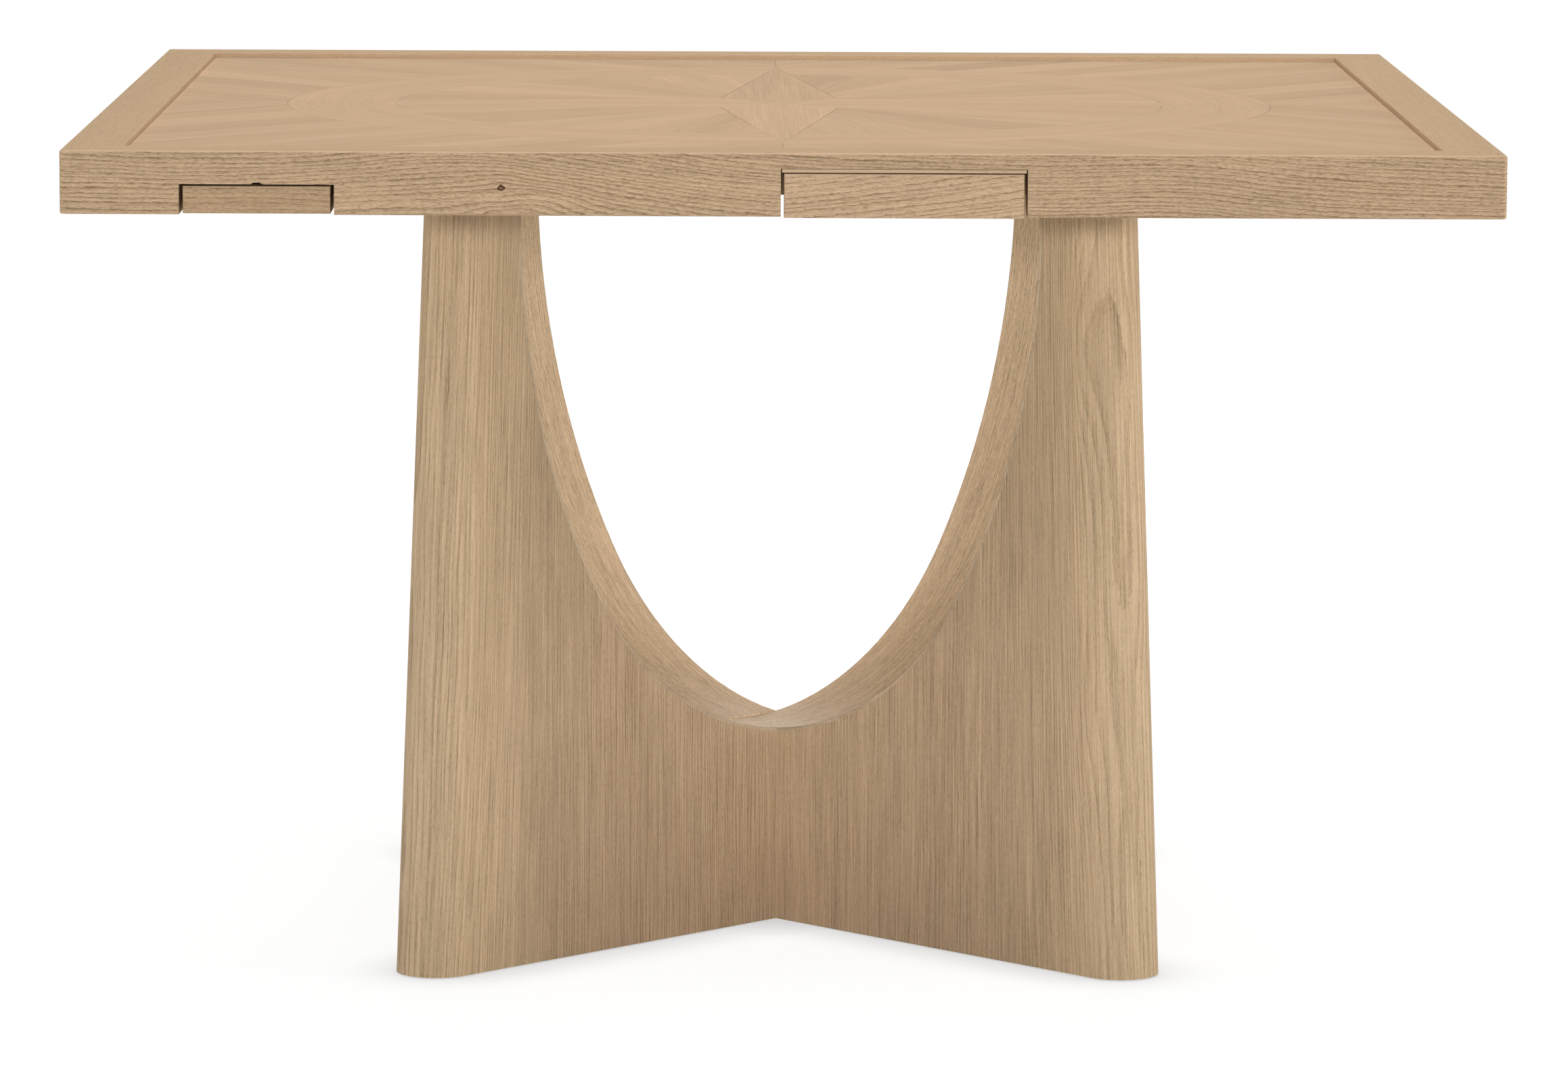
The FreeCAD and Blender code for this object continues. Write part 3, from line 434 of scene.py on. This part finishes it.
def oak(name, space, colour, spacing=0.006, lines=0.2, sharp=0.64, ragged=1.0, warp=0.02, tilt=0.0,
        pith=(0.0, 0.0), swells=(), knots=(), pores=0.12, pore_run=110.0, flecks=0.0, fibre=0.08, streaks=0.06,
        broad=0.05, board_tone=0.0, edge=(0.0008, 0.0), ends=None, quiet_above=None, relief=0.0004,
        roughness=0.56, specular=0.02):
    """Oak with growth rings cut at a slant, pores in dashes along the grain and slow changes of tone.

    Rings: spacing is the distance between them, lines how dark they are, sharp the share of crisp lines in
    them, ragged how rough these are and warp how far they wander. pith is the place of the log's middle across
    and into the board, and tilt the slope of the log to the board. swells (middle, spread, lift) raise the rings
    at a place, and knots (middle, size) turn them aside.
    Marks: pores, flecks, fibre, streaks and broad give the strength of each pattern, and pore_run is how many
    pores follow each other in a metre.
    Boards: board_tone is how far boards differ, edge (width, tone) what their edges show, and ends (low, high,
    lift) makes them paler, with stronger rings, far out across the grain. Above quiet_above, and near the pith,
    the board is planed smooth and its grain is faint.
    """
    s = Shader(name)
    board = Board(s, space)
    dash = board.pattern(pore_run, DASH_PITCH, DASH_DETAIL)
    radius = board.log_radius(pith, tilt, warp, swells, knots)
    ring = board.rings(radius, spacing, ragged, sharp, dash)
    pore = dash.rise(*DASH_PORE) * ring.at_least(PORES_OFF_RINGS)
    fleck = board.pattern(*FLECK).rise(*FLECK_MARK)
    thread = board.pattern(*THREAD).rise(*THREAD_MARK) - 0.5
    streak = board.pattern(*STREAK).rise(*STREAK_MARK) - 0.5
    cloud = board.pattern(*CLOUD).rise(*CLOUD_MARK) - 0.5
    if quiet_above:
        planed = board.planed(quiet_above, pith)
        ring = ring * (1.0 - planed * PLANED_RINGS)
        left = 1.0 - planed * PLANED_REST
        pore, fleck, thread, streak = (part * left for part in (pore, fleck, thread, streak))

    tone = 1.0 + cloud * broad + streak * streaks + thread * fibre
    dark = (ring * lines + pore * pores + fleck * flecks).math("MINIMUM", DARKEST)
    if ends:
        far_out = board.across.math("ABSOLUTE").rise(ends[0], ends[1])
        tone = tone + far_out * ends[2]
        dark = dark + ring * far_out * lines
    if board_tone:
        tone = tone + (s.scatter(board.seed + TONE_SEED) - 0.5) * board_tone
    # Edge tone: dark joints at seams, and along the rim's top arris a painted highlight with fainter grain.
    if board.from_edge:
        edge_tone_and_highlight = 1.0 - board.from_edge.rise(edge[0] * EDGE_CORE, edge[0])
        tone = tone + edge_tone_and_highlight * edge[1]
        dark = dark * (1.0 - edge_tone_and_highlight * EDGE_GRAIN_FADE)

    surface = board.with_knots(s.tint(colour, *(tone - dark * share for share in DARK_GRAIN)), knots)
    height = thread * THREAD_RELIEF + streak * STREAK_RELIEF - ring * RING_RELIEF - pore * PORE_RELIEF
    gloss = pore * PORE_DULLNESS + cloud * CLOUD_DULLNESS + roughness
    s.surface.inputs["IOR"].default_value = OAK_IOR
    s.surface.inputs["Specular IOR Level"].default_value = specular
    return s.finish(surface, gloss, height, OAK_BUMP, relief)


def plain_timber(name, colour, grain, seed):
    """Planed softwood or birch for the pieces out of sight; grain names the axes along, across and into them."""
    return oak(name, plank(*grain, seed), colour, spacing=0.004, lines=0.10, pores=0.04, fibre=0.05, broad=0.06,
               warp=0.012, relief=0.0002, roughness=0.62)


# Metals: scale of the patches beside that of the fine grain, and what both do to the tone and the gloss.
PATCH_SCALE = 0.05
FINE_DETAIL, PATCH_DETAIL = 3.0, 2.0
PATCH_TONE, FINE_TONE = 0.25, 0.12
PATCH_GLOSS, FINE_GLOSS = 0.12, 0.2
METAL_BUMP, METAL_RELIEF = 0.3, 0.0001


def metal(name, colour, roughness, grain_scale, metallic=1.0):
    """Plated, turned or coated metal with a fine uneven surface."""
    s = Shader(name)
    fine = s.noise(s.place, grain_scale, FINE_DETAIL)
    patches = s.noise(s.place, grain_scale * PATCH_SCALE, PATCH_DETAIL)
    s.surface.inputs["Metallic"].default_value = metallic
    tone = (patches - 0.5) * PATCH_TONE + (fine - 0.5) * FINE_TONE + 1.0
    gloss = (fine - 0.5) * FINE_GLOSS + patches * PATCH_GLOSS + roughness
    return s.finish(s.tint(colour, tone, tone, tone), gloss, fine, METAL_BUMP, METAL_RELIEF)


def paint(node, material):
    """Puts a material on a CAD node in place of its plain one."""
    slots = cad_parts[node].data.materials
    slots.clear()
    slots.append(material)


def side_axes(side):
    """The axes along a side of the table and out of it."""
    return ("x", "y") if side in ALONG_X else ("y", "x")


# Rim, drawer fronts and cup slides: brushed oak with strong wavy lines along each side. The middle of a log is
# given by its height and how far behind the rim's face it lies.
# The rim's edge tone, lighter along the top front arris, is a painted highlight.
RAIL_GRAIN = dict(spacing=0.0031, lines=0.98, sharp=0.78, pores=0.30, flecks=0.26, fibre=0.10, broad=0.06,
                  edge=(0.0016, 0.16), quiet_above=RIM_TOP, specular=0.0, relief=0.0006, tilt=0.04, warp=0.014)
DRAWER_GRAIN = dict(spacing=0.0043, lines=0.98, sharp=0.80, pores=0.28, flecks=0.24, fibre=0.08, broad=0.05,
                    quiet_above=DRAWER_TOP, tilt=-0.11, warp=0.016)
SLIDE_GRAIN = dict(spacing=0.0040, lines=0.68, sharp=0.76, pores=0.28, flecks=0.24, fibre=0.08, broad=0.05,
                   tilt=0.03, warp=0.018)
RAIL_LOG, DRAWER_LOG, SLIDE_LOG = (0.655, 0.045), (0.60, 0.03), (0.64, 0.04)
RAIL_SEED, DRAWER_SEED, SLIDE_SEED, KICKER_SEED = 3.0, 11.0, 19.0, 2.0
RAIL_SWELLS = {
    "front": [((-0.25, 0.73), (0.16, 0.20), 0.024), ((-0.216, 0.711), (0.042, 0.020), 0.018),
              ((0.33, 0.73), (0.09, 0.20), 0.008)],
    "right": [((0.20, 0.72), (0.15, 0.20), 0.022)],
    "back": [((0.25, 0.73), (0.16, 0.20), 0.026), ((-0.35, 0.74), (0.08, 0.04), -0.012)],
    "left": [((-0.15, 0.73), (0.14, 0.20), 0.024)],
}
RAIL_KNOTS = {"front": [((-0.2382, 0.7314), 0.0047)], "back": [((0.41, 0.726), 0.0040)]}


def log_middle(log, outward):
    """Where a log's middle lies across and into a board on the side that faces outward."""
    height, behind = log
    return height, outward * (RIM_FACE - behind)


def dress_rim():
    for k, side in enumerate(SIDES):
        along, depth = side_axes(side)
        outward = -1.0 if side in FACING_MINUS else 1.0
        rail = plank(along, "z", depth, RAIL_SEED + k, outward * RIM_FACE)
        paint(f"rail_{side}", oak(f"oak_rail_{side}", rail, OAK_RIM, pith=log_middle(RAIL_LOG, outward),
                                  swells=RAIL_SWELLS[side], knots=RAIL_KNOTS.get(side, ()), **RAIL_GRAIN))
        drawer = plank(along, "z", depth, DRAWER_SEED + k)
        paint(f"drawer_front_{side}", oak(f"oak_drawer_front_{side}", drawer, OAK_FRONT,
                                          pith=log_middle(DRAWER_LOG, outward), **DRAWER_GRAIN))
        slide = plank(along, "z", depth, SLIDE_SEED + k)
        paint(f"cup_slide_{side}", oak(f"oak_cup_slide_{side}", slide, OAK_SLIDE,
                                       pith=log_middle(SLIDE_LOG, outward), **SLIDE_GRAIN))
    paint("drawer_kickers", oak("oak_kicker", plank("x", "y", "z", KICKER_SEED), OAK_FRONT, lines=0.16))


# Parquetry: smooth veneers, each with its grain along its own middle line.
VENEER_GRAIN = dict(spacing=0.011, pores=0.06, flecks=0.04, fibre=0.08, streaks=0.06, broad=0.08, warp=0.03,
                    relief=0.0001, roughness=0.6, specular=0.0)
VENEER_PITH, RING_PITH = (-0.05, 0.72), (0.35, 0.72)
FAINT_SEAM, FINE_SEAM = (0.0006, -0.025), (0.0006, -0.07)
STAR_START = 135.0


def dress_parquetry():
    paint("star", oak("veneer_star", sectors(QUARTERS, STAR_START, star_edge), OAK_TOP, lines=0.08,
                      pith=VENEER_PITH, board_tone=0.08, edge=FAINT_SEAM, **VENEER_GRAIN))
    quiet = dict(lines=0.06, pith=VENEER_PITH, board_tone=0.05, edge=FAINT_SEAM, **VENEER_GRAIN)
    for tone, colour in (("light", OAK_TOP_LIGHT), ("dark", OAK_TOP_DARK)):
        wedges = sectors(WEDGES, 0.0, wedge_edge)
        paint(f"sunburst_{tone}", oak(f"veneer_sunburst_{tone}", wedges, colour, **quiet))
        boards = sectors(QUARTERS, 0.0, board_edge, BOARD_WIDTH)
        paint(f"corner_boards_{tone}", oak(f"veneer_boards_{tone}", boards, colour, **quiet))
    paint("ring", oak("veneer_ring", ring_grain, OAK_TOP, lines=0.0, pith=RING_PITH, board_tone=0.02,
                      edge=FINE_SEAM, **VENEER_GRAIN))


# Base: upright grain that runs from the panels into their paler nosings, and grain round the arch on the bands.
PANELS = {"a": 45.0, "b": 135.0}
PANEL_ENDS = {"a": ("back_right", "front_left"), "b": ("back_left", "front_right")}
PANEL_SWELLS = {
    "a": [((0.30, -0.43), (0.16, 0.016), 0.010), ((0.45, 0.43), (0.14, 0.018), 0.014)],
    "b": [((0.56, -0.432), (0.10, 0.018), 0.018), ((0.25, -0.43), (0.12, 0.016), 0.012),
          ((0.40, 0.43), (0.15, 0.018), 0.014)],
}
PANEL_GRAIN = dict(spacing=0.0040, lines=0.13, sharp=0.3, pores=0.18, pore_run=24.0, flecks=0.17, fibre=0.27,
                   streaks=0.10, broad=0.08, pith=(-0.9, 0.2), warp=0.016, ragged=0.5, relief=0.0009,
                   edge=(0.003, -0.07), ends=(0.34, 0.44, 0.17))
BAND_GRAIN = dict(spacing=0.0022, lines=0.40, pores=0.36, pore_run=70.0, flecks=0.22, fibre=0.16, broad=0.05,
                  pith=(-0.2, 0.1), warp=0.006, ragged=0.8, edge=(0.0011, -0.34))
PANEL_SEED, BAND_SEED = 31.0, 37.0


def dress_base():
    for label, angle in PANELS.items():
        panel_oak = oak(f"oak_panel_{label}", upright(angle, PANEL_SEED + angle), OAK_PANEL,
                        swells=PANEL_SWELLS[label], **PANEL_GRAIN)
        paint(f"base_panel_{label}", panel_oak)
        for leg in PANEL_ENDS[label]:
            paint(f"end_nosing_{leg}", panel_oak)
        paint(f"arch_band_{label}", oak(f"oak_band_{label}", arched(angle, BAND_SEED + angle), OAK_BAND,
                                        **BAND_GRAIN))


# Timber that shows only from below or inside, with a seed for each kind of piece.
BEARER_SEED, DOWEL_SEED, PINE_SEED = 51.0, 59.0, 61.0
BOX_SIDE_SEED, BOX_BACK_SEED, BOX_BOTTOM_SEED = 53.0, 55.0, 57.0
PINE_PIECES = ("ledger_cleats", "drawer_runners", "drawer_stops", "cup_runners", "mitre_keys", "panel_core")


def dress_hidden_timber():
    for side in SIDES:
        along, depth = side_axes(side)
        for node, name, colour, grain, seed in (
                ("bearer", "pine_bearer", PINE, (along, depth, "z"), BEARER_SEED),
                ("drawer_sides", "birch_sides", BIRCH, (depth, "z", along), BOX_SIDE_SEED),
                ("drawer_back", "birch_back", BIRCH, (along, "z", depth), BOX_BACK_SEED),
                ("drawer_bottom", "birch_bottom", BIRCH, (along, depth, "z"), BOX_BOTTOM_SEED),
                ("cup_stop", "birch_dowel", BIRCH, ("z", "x", "y"), DOWEL_SEED)):
            paint(f"{node}_{side}", plain_timber(f"{name}_{side}", colour, grain, seed))
    pine = plain_timber("pine_parts", PINE, ("x", "y", "z"), PINE_SEED)
    for node in PINE_PIECES:
        paint(node, pine)


def dress_fittings(zinc):
    paint("mounting_plates", metal("plate_coat", BLACK_COAT, roughness=0.5, grain_scale=900.0, metallic=0.0))
    paint("plate_screws", zinc)
    paint("threaded_inserts", metal("turned_brass", BRASS, roughness=0.35, grain_scale=600.0))
    paint("glides", metal("nylon", NYLON, roughness=0.55, grain_scale=500.0, metallic=0.0))


# Small fittings are lofted through rings of points round an upright axis.
RING_POINTS = 24
SHARP_EDGE = math.radians(35)


def ring_of(radius_at, height):
    """Points round an upright axis; radius_at gives the outline's radius at an angle."""
    angles = [math.tau * i / RING_POINTS for i in range(RING_POINTS)]
    return [(radius_at(a) * math.cos(a), radius_at(a) * math.sin(a), height) for a in angles]


def round_line(radius):
    return lambda angle: radius


def hexagon(half_width):
    return lambda angle: half_width / math.cos((angle + math.pi / 6) % (math.pi / 3) - math.pi / 6)


def cross(reach):
    """A cross-head recess: arms of the given reach, as wide as their corners at 15 degrees."""
    half_arm = reach * math.tan(math.radians(15))
    tolerance = 1e-9

    def radius_at(angle):
        folded = abs((angle + math.pi / 4) % (math.pi / 2) - math.pi / 4)
        on_arm_end = math.tan(folded) * reach <= half_arm + tolerance
        return reach / math.cos(folded) if on_arm_end else half_arm / math.sin(folded)
    return radius_at


def fittings(name, outlines, places, material):
    """Copies of one closed form at the places, lofted through outlines (line, height) from top to bottom."""
    rings = [ring_of(line, height) for line, height in outlines]
    points, faces = [], []
    for x, y, z in places:
        first = len(points)
        points += [(x + p[0], y + p[1], z + p[2]) for ring in rings for p in ring]
        for row in range(len(rings) - 1):
            near, far = first + row * RING_POINTS, first + (row + 1) * RING_POINTS
            for i in range(RING_POINTS):
                j = (i + 1) % RING_POINTS
                faces.append((near + i, far + i, far + j, near + j))
        last = first + (len(rings) - 1) * RING_POINTS
        faces.append(tuple(range(first, first + RING_POINTS)))
        faces.append(tuple(reversed(range(last, last + RING_POINTS))))
    mesh = bpy.data.meshes.new(name)
    mesh.from_pydata(points, [], faces)
    mesh.materials.append(material)
    mesh.polygons.foreach_set("use_smooth", [True] * len(mesh.polygons))
    mesh.set_sharp_from_angle(angle=SHARP_EDGE)
    piece = bpy.data.objects.new(name, mesh)
    bpy.context.scene.collection.objects.link(piece)
    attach(piece, "table")
    return piece


def all_round(places):
    """The places on the front side, repeated on all four sides."""
    turns = ((1, 0), (0, 1), (-1, 0), (0, -1))
    return [(x * c - y * s, x * s + y * c, z) for c, s in turns for x, y, z in places]


# Cross-head screws that hold the timber under the top: plan places on the front side, one height per node.
SCREW_HEAD = [(round_line(0.0040), 0.0), (round_line(0.0040), -0.0005), (round_line(0.0033), -0.0014),
              (round_line(0.0029), -0.0016), (cross(0.0023), -0.0016), (cross(0.0019), -0.0006)]
SCREWS = {
    "bearer_front": [(x, -0.280) for x in (-0.45, -0.10, 0.10, 0.45)],
    "ledger_cleats": [(x, -0.5495) for x in (-0.19, -0.05, 0.37, 0.50)],
    "drawer_runners": [(x, y) for x in (0.0022, 0.2007) for y in (-0.52, -0.36)],
    "cup_runners": [(x, y) for x in (-0.5134, -0.3742) for y in (-0.53, -0.40)],
}


def add_screws(material):
    for node, plan in SCREWS.items():
        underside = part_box(node)[0][2]
        fittings(f"{node}_screws", SCREW_HEAD, all_round([(x, y, underside) for x, y in plan]), material)


# Socket-head bolts that hold the plates to the bearers, at the corners of each plate's pattern.
LEG_MIDDLE = 0.39596
BOLT_PLAN = [(LEG_MIDDLE + a, b) for a in (-0.020, 0.020) for b in (-0.054, 0.054)]
BOLT_HEAD, BOLT_CHAMFER = 0.005, 0.0006
BOLT_TIP_RADIUS, BOLT_RADIUS, HEAD_RADIUS, HEAD_CROWN = 0.0036, 0.0040, 0.0065, 0.0060
HEAD_SIDE, SOCKET_MOUTH, SOCKET_FLOOR, SOCKET_TOP = 0.0045, 0.0026, 0.0025, 0.0021


def add_bolts(material):
    foot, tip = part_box("plate_bolts")[0][2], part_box("plate_bolts")[1][2]
    shank = tip - foot - BOLT_HEAD
    outlines = [(round_line(BOLT_TIP_RADIUS), shank), (round_line(BOLT_RADIUS), shank - BOLT_CHAMFER),
                (round_line(BOLT_RADIUS), 0.0), (round_line(HEAD_RADIUS), 0.0),
                (round_line(HEAD_RADIUS), -HEAD_SIDE), (round_line(HEAD_CROWN), -BOLT_HEAD),
                (hexagon(SOCKET_MOUTH), -BOLT_HEAD), (hexagon(SOCKET_FLOOR), -SOCKET_TOP)]
    half = math.sqrt(0.5)
    corner = [((u - v) * half, (u + v) * half, foot + BOLT_HEAD) for u, v in BOLT_PLAN]
    bolts = fittings("socket_bolts", outlines, all_round(corner), material)
    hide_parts("plate_bolts")


# Stage: a pale floor that is white to the camera, and soft light from all round. Round the table the floor shows
# its shadow, and close to the feet a painted contact shadow from ambient occlusion dims its glow; further off it
# runs into white.
FLOOR_HALF = 20.0
FLOOR_NEAR, FLOOR_FAR = 0.7, 2.4
FLOOR_GLOW_NEAR, FLOOR_GLOW_FAR = 0.92, 1.0
# Painted contact shadow: its reach, the openness over which it fades, and the glow at its darkest and lightest.
CONTACT = 0.08
CONTACT_OPEN = (0.30, 0.95)
CONTACT_GLOW = (0.64, 1.0)
SKY_LIGHT, SKY_SEEN = 0.12, 1.0


def seen_directly(graph):
    """1 for what the camera sees, straight or through gloss and glass."""
    straight, gloss, glass = (graph.field("ShaderNodeLightPath", output=f"Is {ray} Ray")
                              for ray in ("Camera", "Glossy", "Transmission"))
    return straight.math("MAXIMUM", gloss).math("MAXIMUM", glass)


def see_through_from_below(graph, surface):
    """The surface, left out for a camera under it, so that the underside of the table can be looked at."""
    behind = graph.field("ShaderNodeNewGeometry", output="Backfacing")
    camera_ray = graph.field("ShaderNodeLightPath", output="Is Camera Ray")
    nothing = graph.field("ShaderNodeBsdfTransparent")
    return graph.field("ShaderNodeMixShader", behind * camera_ray, surface, nothing)


def floor_material():
    material = bpy.data.materials.new("floor_white")
    material.use_nodes = True
    tree = material.node_tree
    tree.nodes.clear()
    graph = Graph(tree)
    place = graph.field("ShaderNodeTexCoord", output="Object")
    distance = graph.field("ShaderNodeVectorMath", place, output="Value", operation="LENGTH")
    fade = distance.rise(FLOOR_NEAR, FLOOR_FAR, FLOOR_GLOW_NEAR, FLOOR_GLOW_FAR)
    # Painted contact shadow: ambient occlusion near the table dims the floor's glow.
    openness = graph.field("ShaderNodeAmbientOcclusion", WHITE, CONTACT, output="AO")
    glow_with_painted_shadow = openness.rise(*CONTACT_OPEN, *CONTACT_GLOW, shape="LINEAR") * fade
    glow = graph.field("ShaderNodeEmission", WHITE, glow_with_painted_shadow)
    white = graph.field("ShaderNodeAddShader", graph.field("ShaderNodeBsdfDiffuse", SHADED_GREY), glow)
    plain = graph.field("ShaderNodeBsdfDiffuse", PALE_GREY)
    surface = graph.field("ShaderNodeMixShader", seen_directly(graph), plain, white)
    output = tree.nodes.new("ShaderNodeOutputMaterial")
    graph.feed(output.inputs["Surface"], see_through_from_below(graph, surface))
    return material


def floor():
    mesh = bpy.data.meshes.new("floor")
    corners = [(x * FLOOR_HALF, y * FLOOR_HALF, 0.0) for x, y in ((-1, -1), (1, -1), (1, 1), (-1, 1))]
    mesh.from_pydata(corners, [], [(0, 1, 2, 3)])
    mesh.materials.append(floor_material())
    plane = bpy.data.objects.new("floor", mesh)
    bpy.context.scene.collection.objects.link(plane)


def sky():
    """Dim even light from all round, and a pale background."""
    world = bpy.data.worlds.new("studio")
    bpy.context.scene.world = world
    world.use_nodes = True
    tree = world.node_tree
    tree.nodes.clear()
    graph = Graph(tree)
    light = graph.field("ShaderNodeBackground", WHITE, SKY_LIGHT)
    seen = graph.field("ShaderNodeBackground", PALE_GREY, SKY_SEEN)
    surface = graph.field("ShaderNodeMixShader", seen_directly(graph), light, seen)
    output = tree.nodes.new("ShaderNodeOutputWorld")
    graph.feed(output.inputs["Surface"], surface)


# Name, place, target, width, height and power of each soft lamp. The front one is a low strip, so that the rim
# shades the tops of the legs, and the last one a narrow beam on the foot of the crossing.
LAMPS = (
    ("overhead", (0.0, -0.3, 3.4), (0.0, 0.0, 0.7), 3.0, 3.0, 64.0),
    ("front", (0.0, -5.0, 1.3), (0.0, 0.0, 0.5), 2.6, 0.25, 98.0),
    ("side_right", (4.0, -0.5, 1.2), (0.0, 0.0, 0.4), 2.5, 2.5, 54.0),
    ("side_left", (-4.0, -0.5, 1.2), (0.0, 0.0, 0.4), 2.5, 2.5, 5.0),
    ("low_right", (4.0, -0.9, 0.5), (0.0, 0.0, 0.42), 1.2, 1.2, 38.0),
    ("low_left", (-4.0, -0.9, 0.5), (0.0, 0.0, 0.42), 1.2, 1.2, 43.0),
    ("behind", (0.0, 4.2, 1.6), (0.0, 0.0, 0.5), 2.5, 2.5, 120.0),
    ("base_fill", (0.0, -3.2, 0.3), (0.0, 0.0, 0.2), 0.3, 0.3, 0.25),
)
BEAM_SPREAD = {"base_fill": 0.22}


def softbox(name, place, target, width, height, power):
    light = bpy.data.lights.new(name, "AREA")
    light.spread = BEAM_SPREAD.get(name, math.pi)
    light.shape = "RECTANGLE"
    light.size, light.size_y = width, height
    light.energy = power
    lamp = bpy.data.objects.new(name, light)
    direction = Vector(target) - Vector(place)
    lamp.matrix_world = Matrix.Translation(place) @ direction.to_track_quat("-Z", "Y").to_matrix().to_4x4()
    bpy.context.scene.collection.objects.link(lamp)


# The photograph's camera, fitted to the rim's corners and the feet: metres, degrees and millimetres.
CAMERA_PLACE = (-0.04816, -6.74066, 1.27625)
CAMERA_YAW, CAMERA_PITCH, CAMERA_ROLL = 0.46405, 7.82751, 0.27007
CAMERA_LENS, CAMERA_SENSOR = 167.724, 36.0
CAMERA_CLIP = 100.0


def camera():
    yaw, pitch, roll = (math.radians(a) for a in (CAMERA_YAW, CAMERA_PITCH, CAMERA_ROLL))
    forward = Vector((math.sin(yaw) * math.cos(pitch), math.cos(yaw) * math.cos(pitch), -math.sin(pitch)))
    level = Vector((math.cos(yaw), -math.sin(yaw), 0.0))
    rise = level.cross(forward)
    right = level * math.cos(roll) + rise * math.sin(roll)
    up = rise * math.cos(roll) - level * math.sin(roll)
    data = bpy.data.cameras.new("photo_camera")
    data.sensor_width = CAMERA_SENSOR
    data.sensor_fit = "HORIZONTAL"
    data.lens = CAMERA_LENS
    data.clip_end = CAMERA_CLIP
    view = bpy.data.objects.new("photo_camera", data)
    turn = Matrix((right, up, -forward)).transposed().to_4x4()
    view.matrix_world = Matrix.Translation(CAMERA_PLACE) @ turn
    bpy.context.scene.collection.objects.link(view)
    bpy.context.scene.camera = view


dress_rim()
dress_parquetry()
dress_base()
dress_hidden_timber()
zinc_plate = metal("zinc_plate", ZINC, roughness=0.32, grain_scale=600.0)
dress_fittings(zinc_plate)
add_screws(zinc_plate)
add_bolts(zinc_plate)

floor()
sky()
for lamp in LAMPS:
    softbox(*lamp)
camera()
bpy.context.scene.view_settings.view_transform = "Standard"
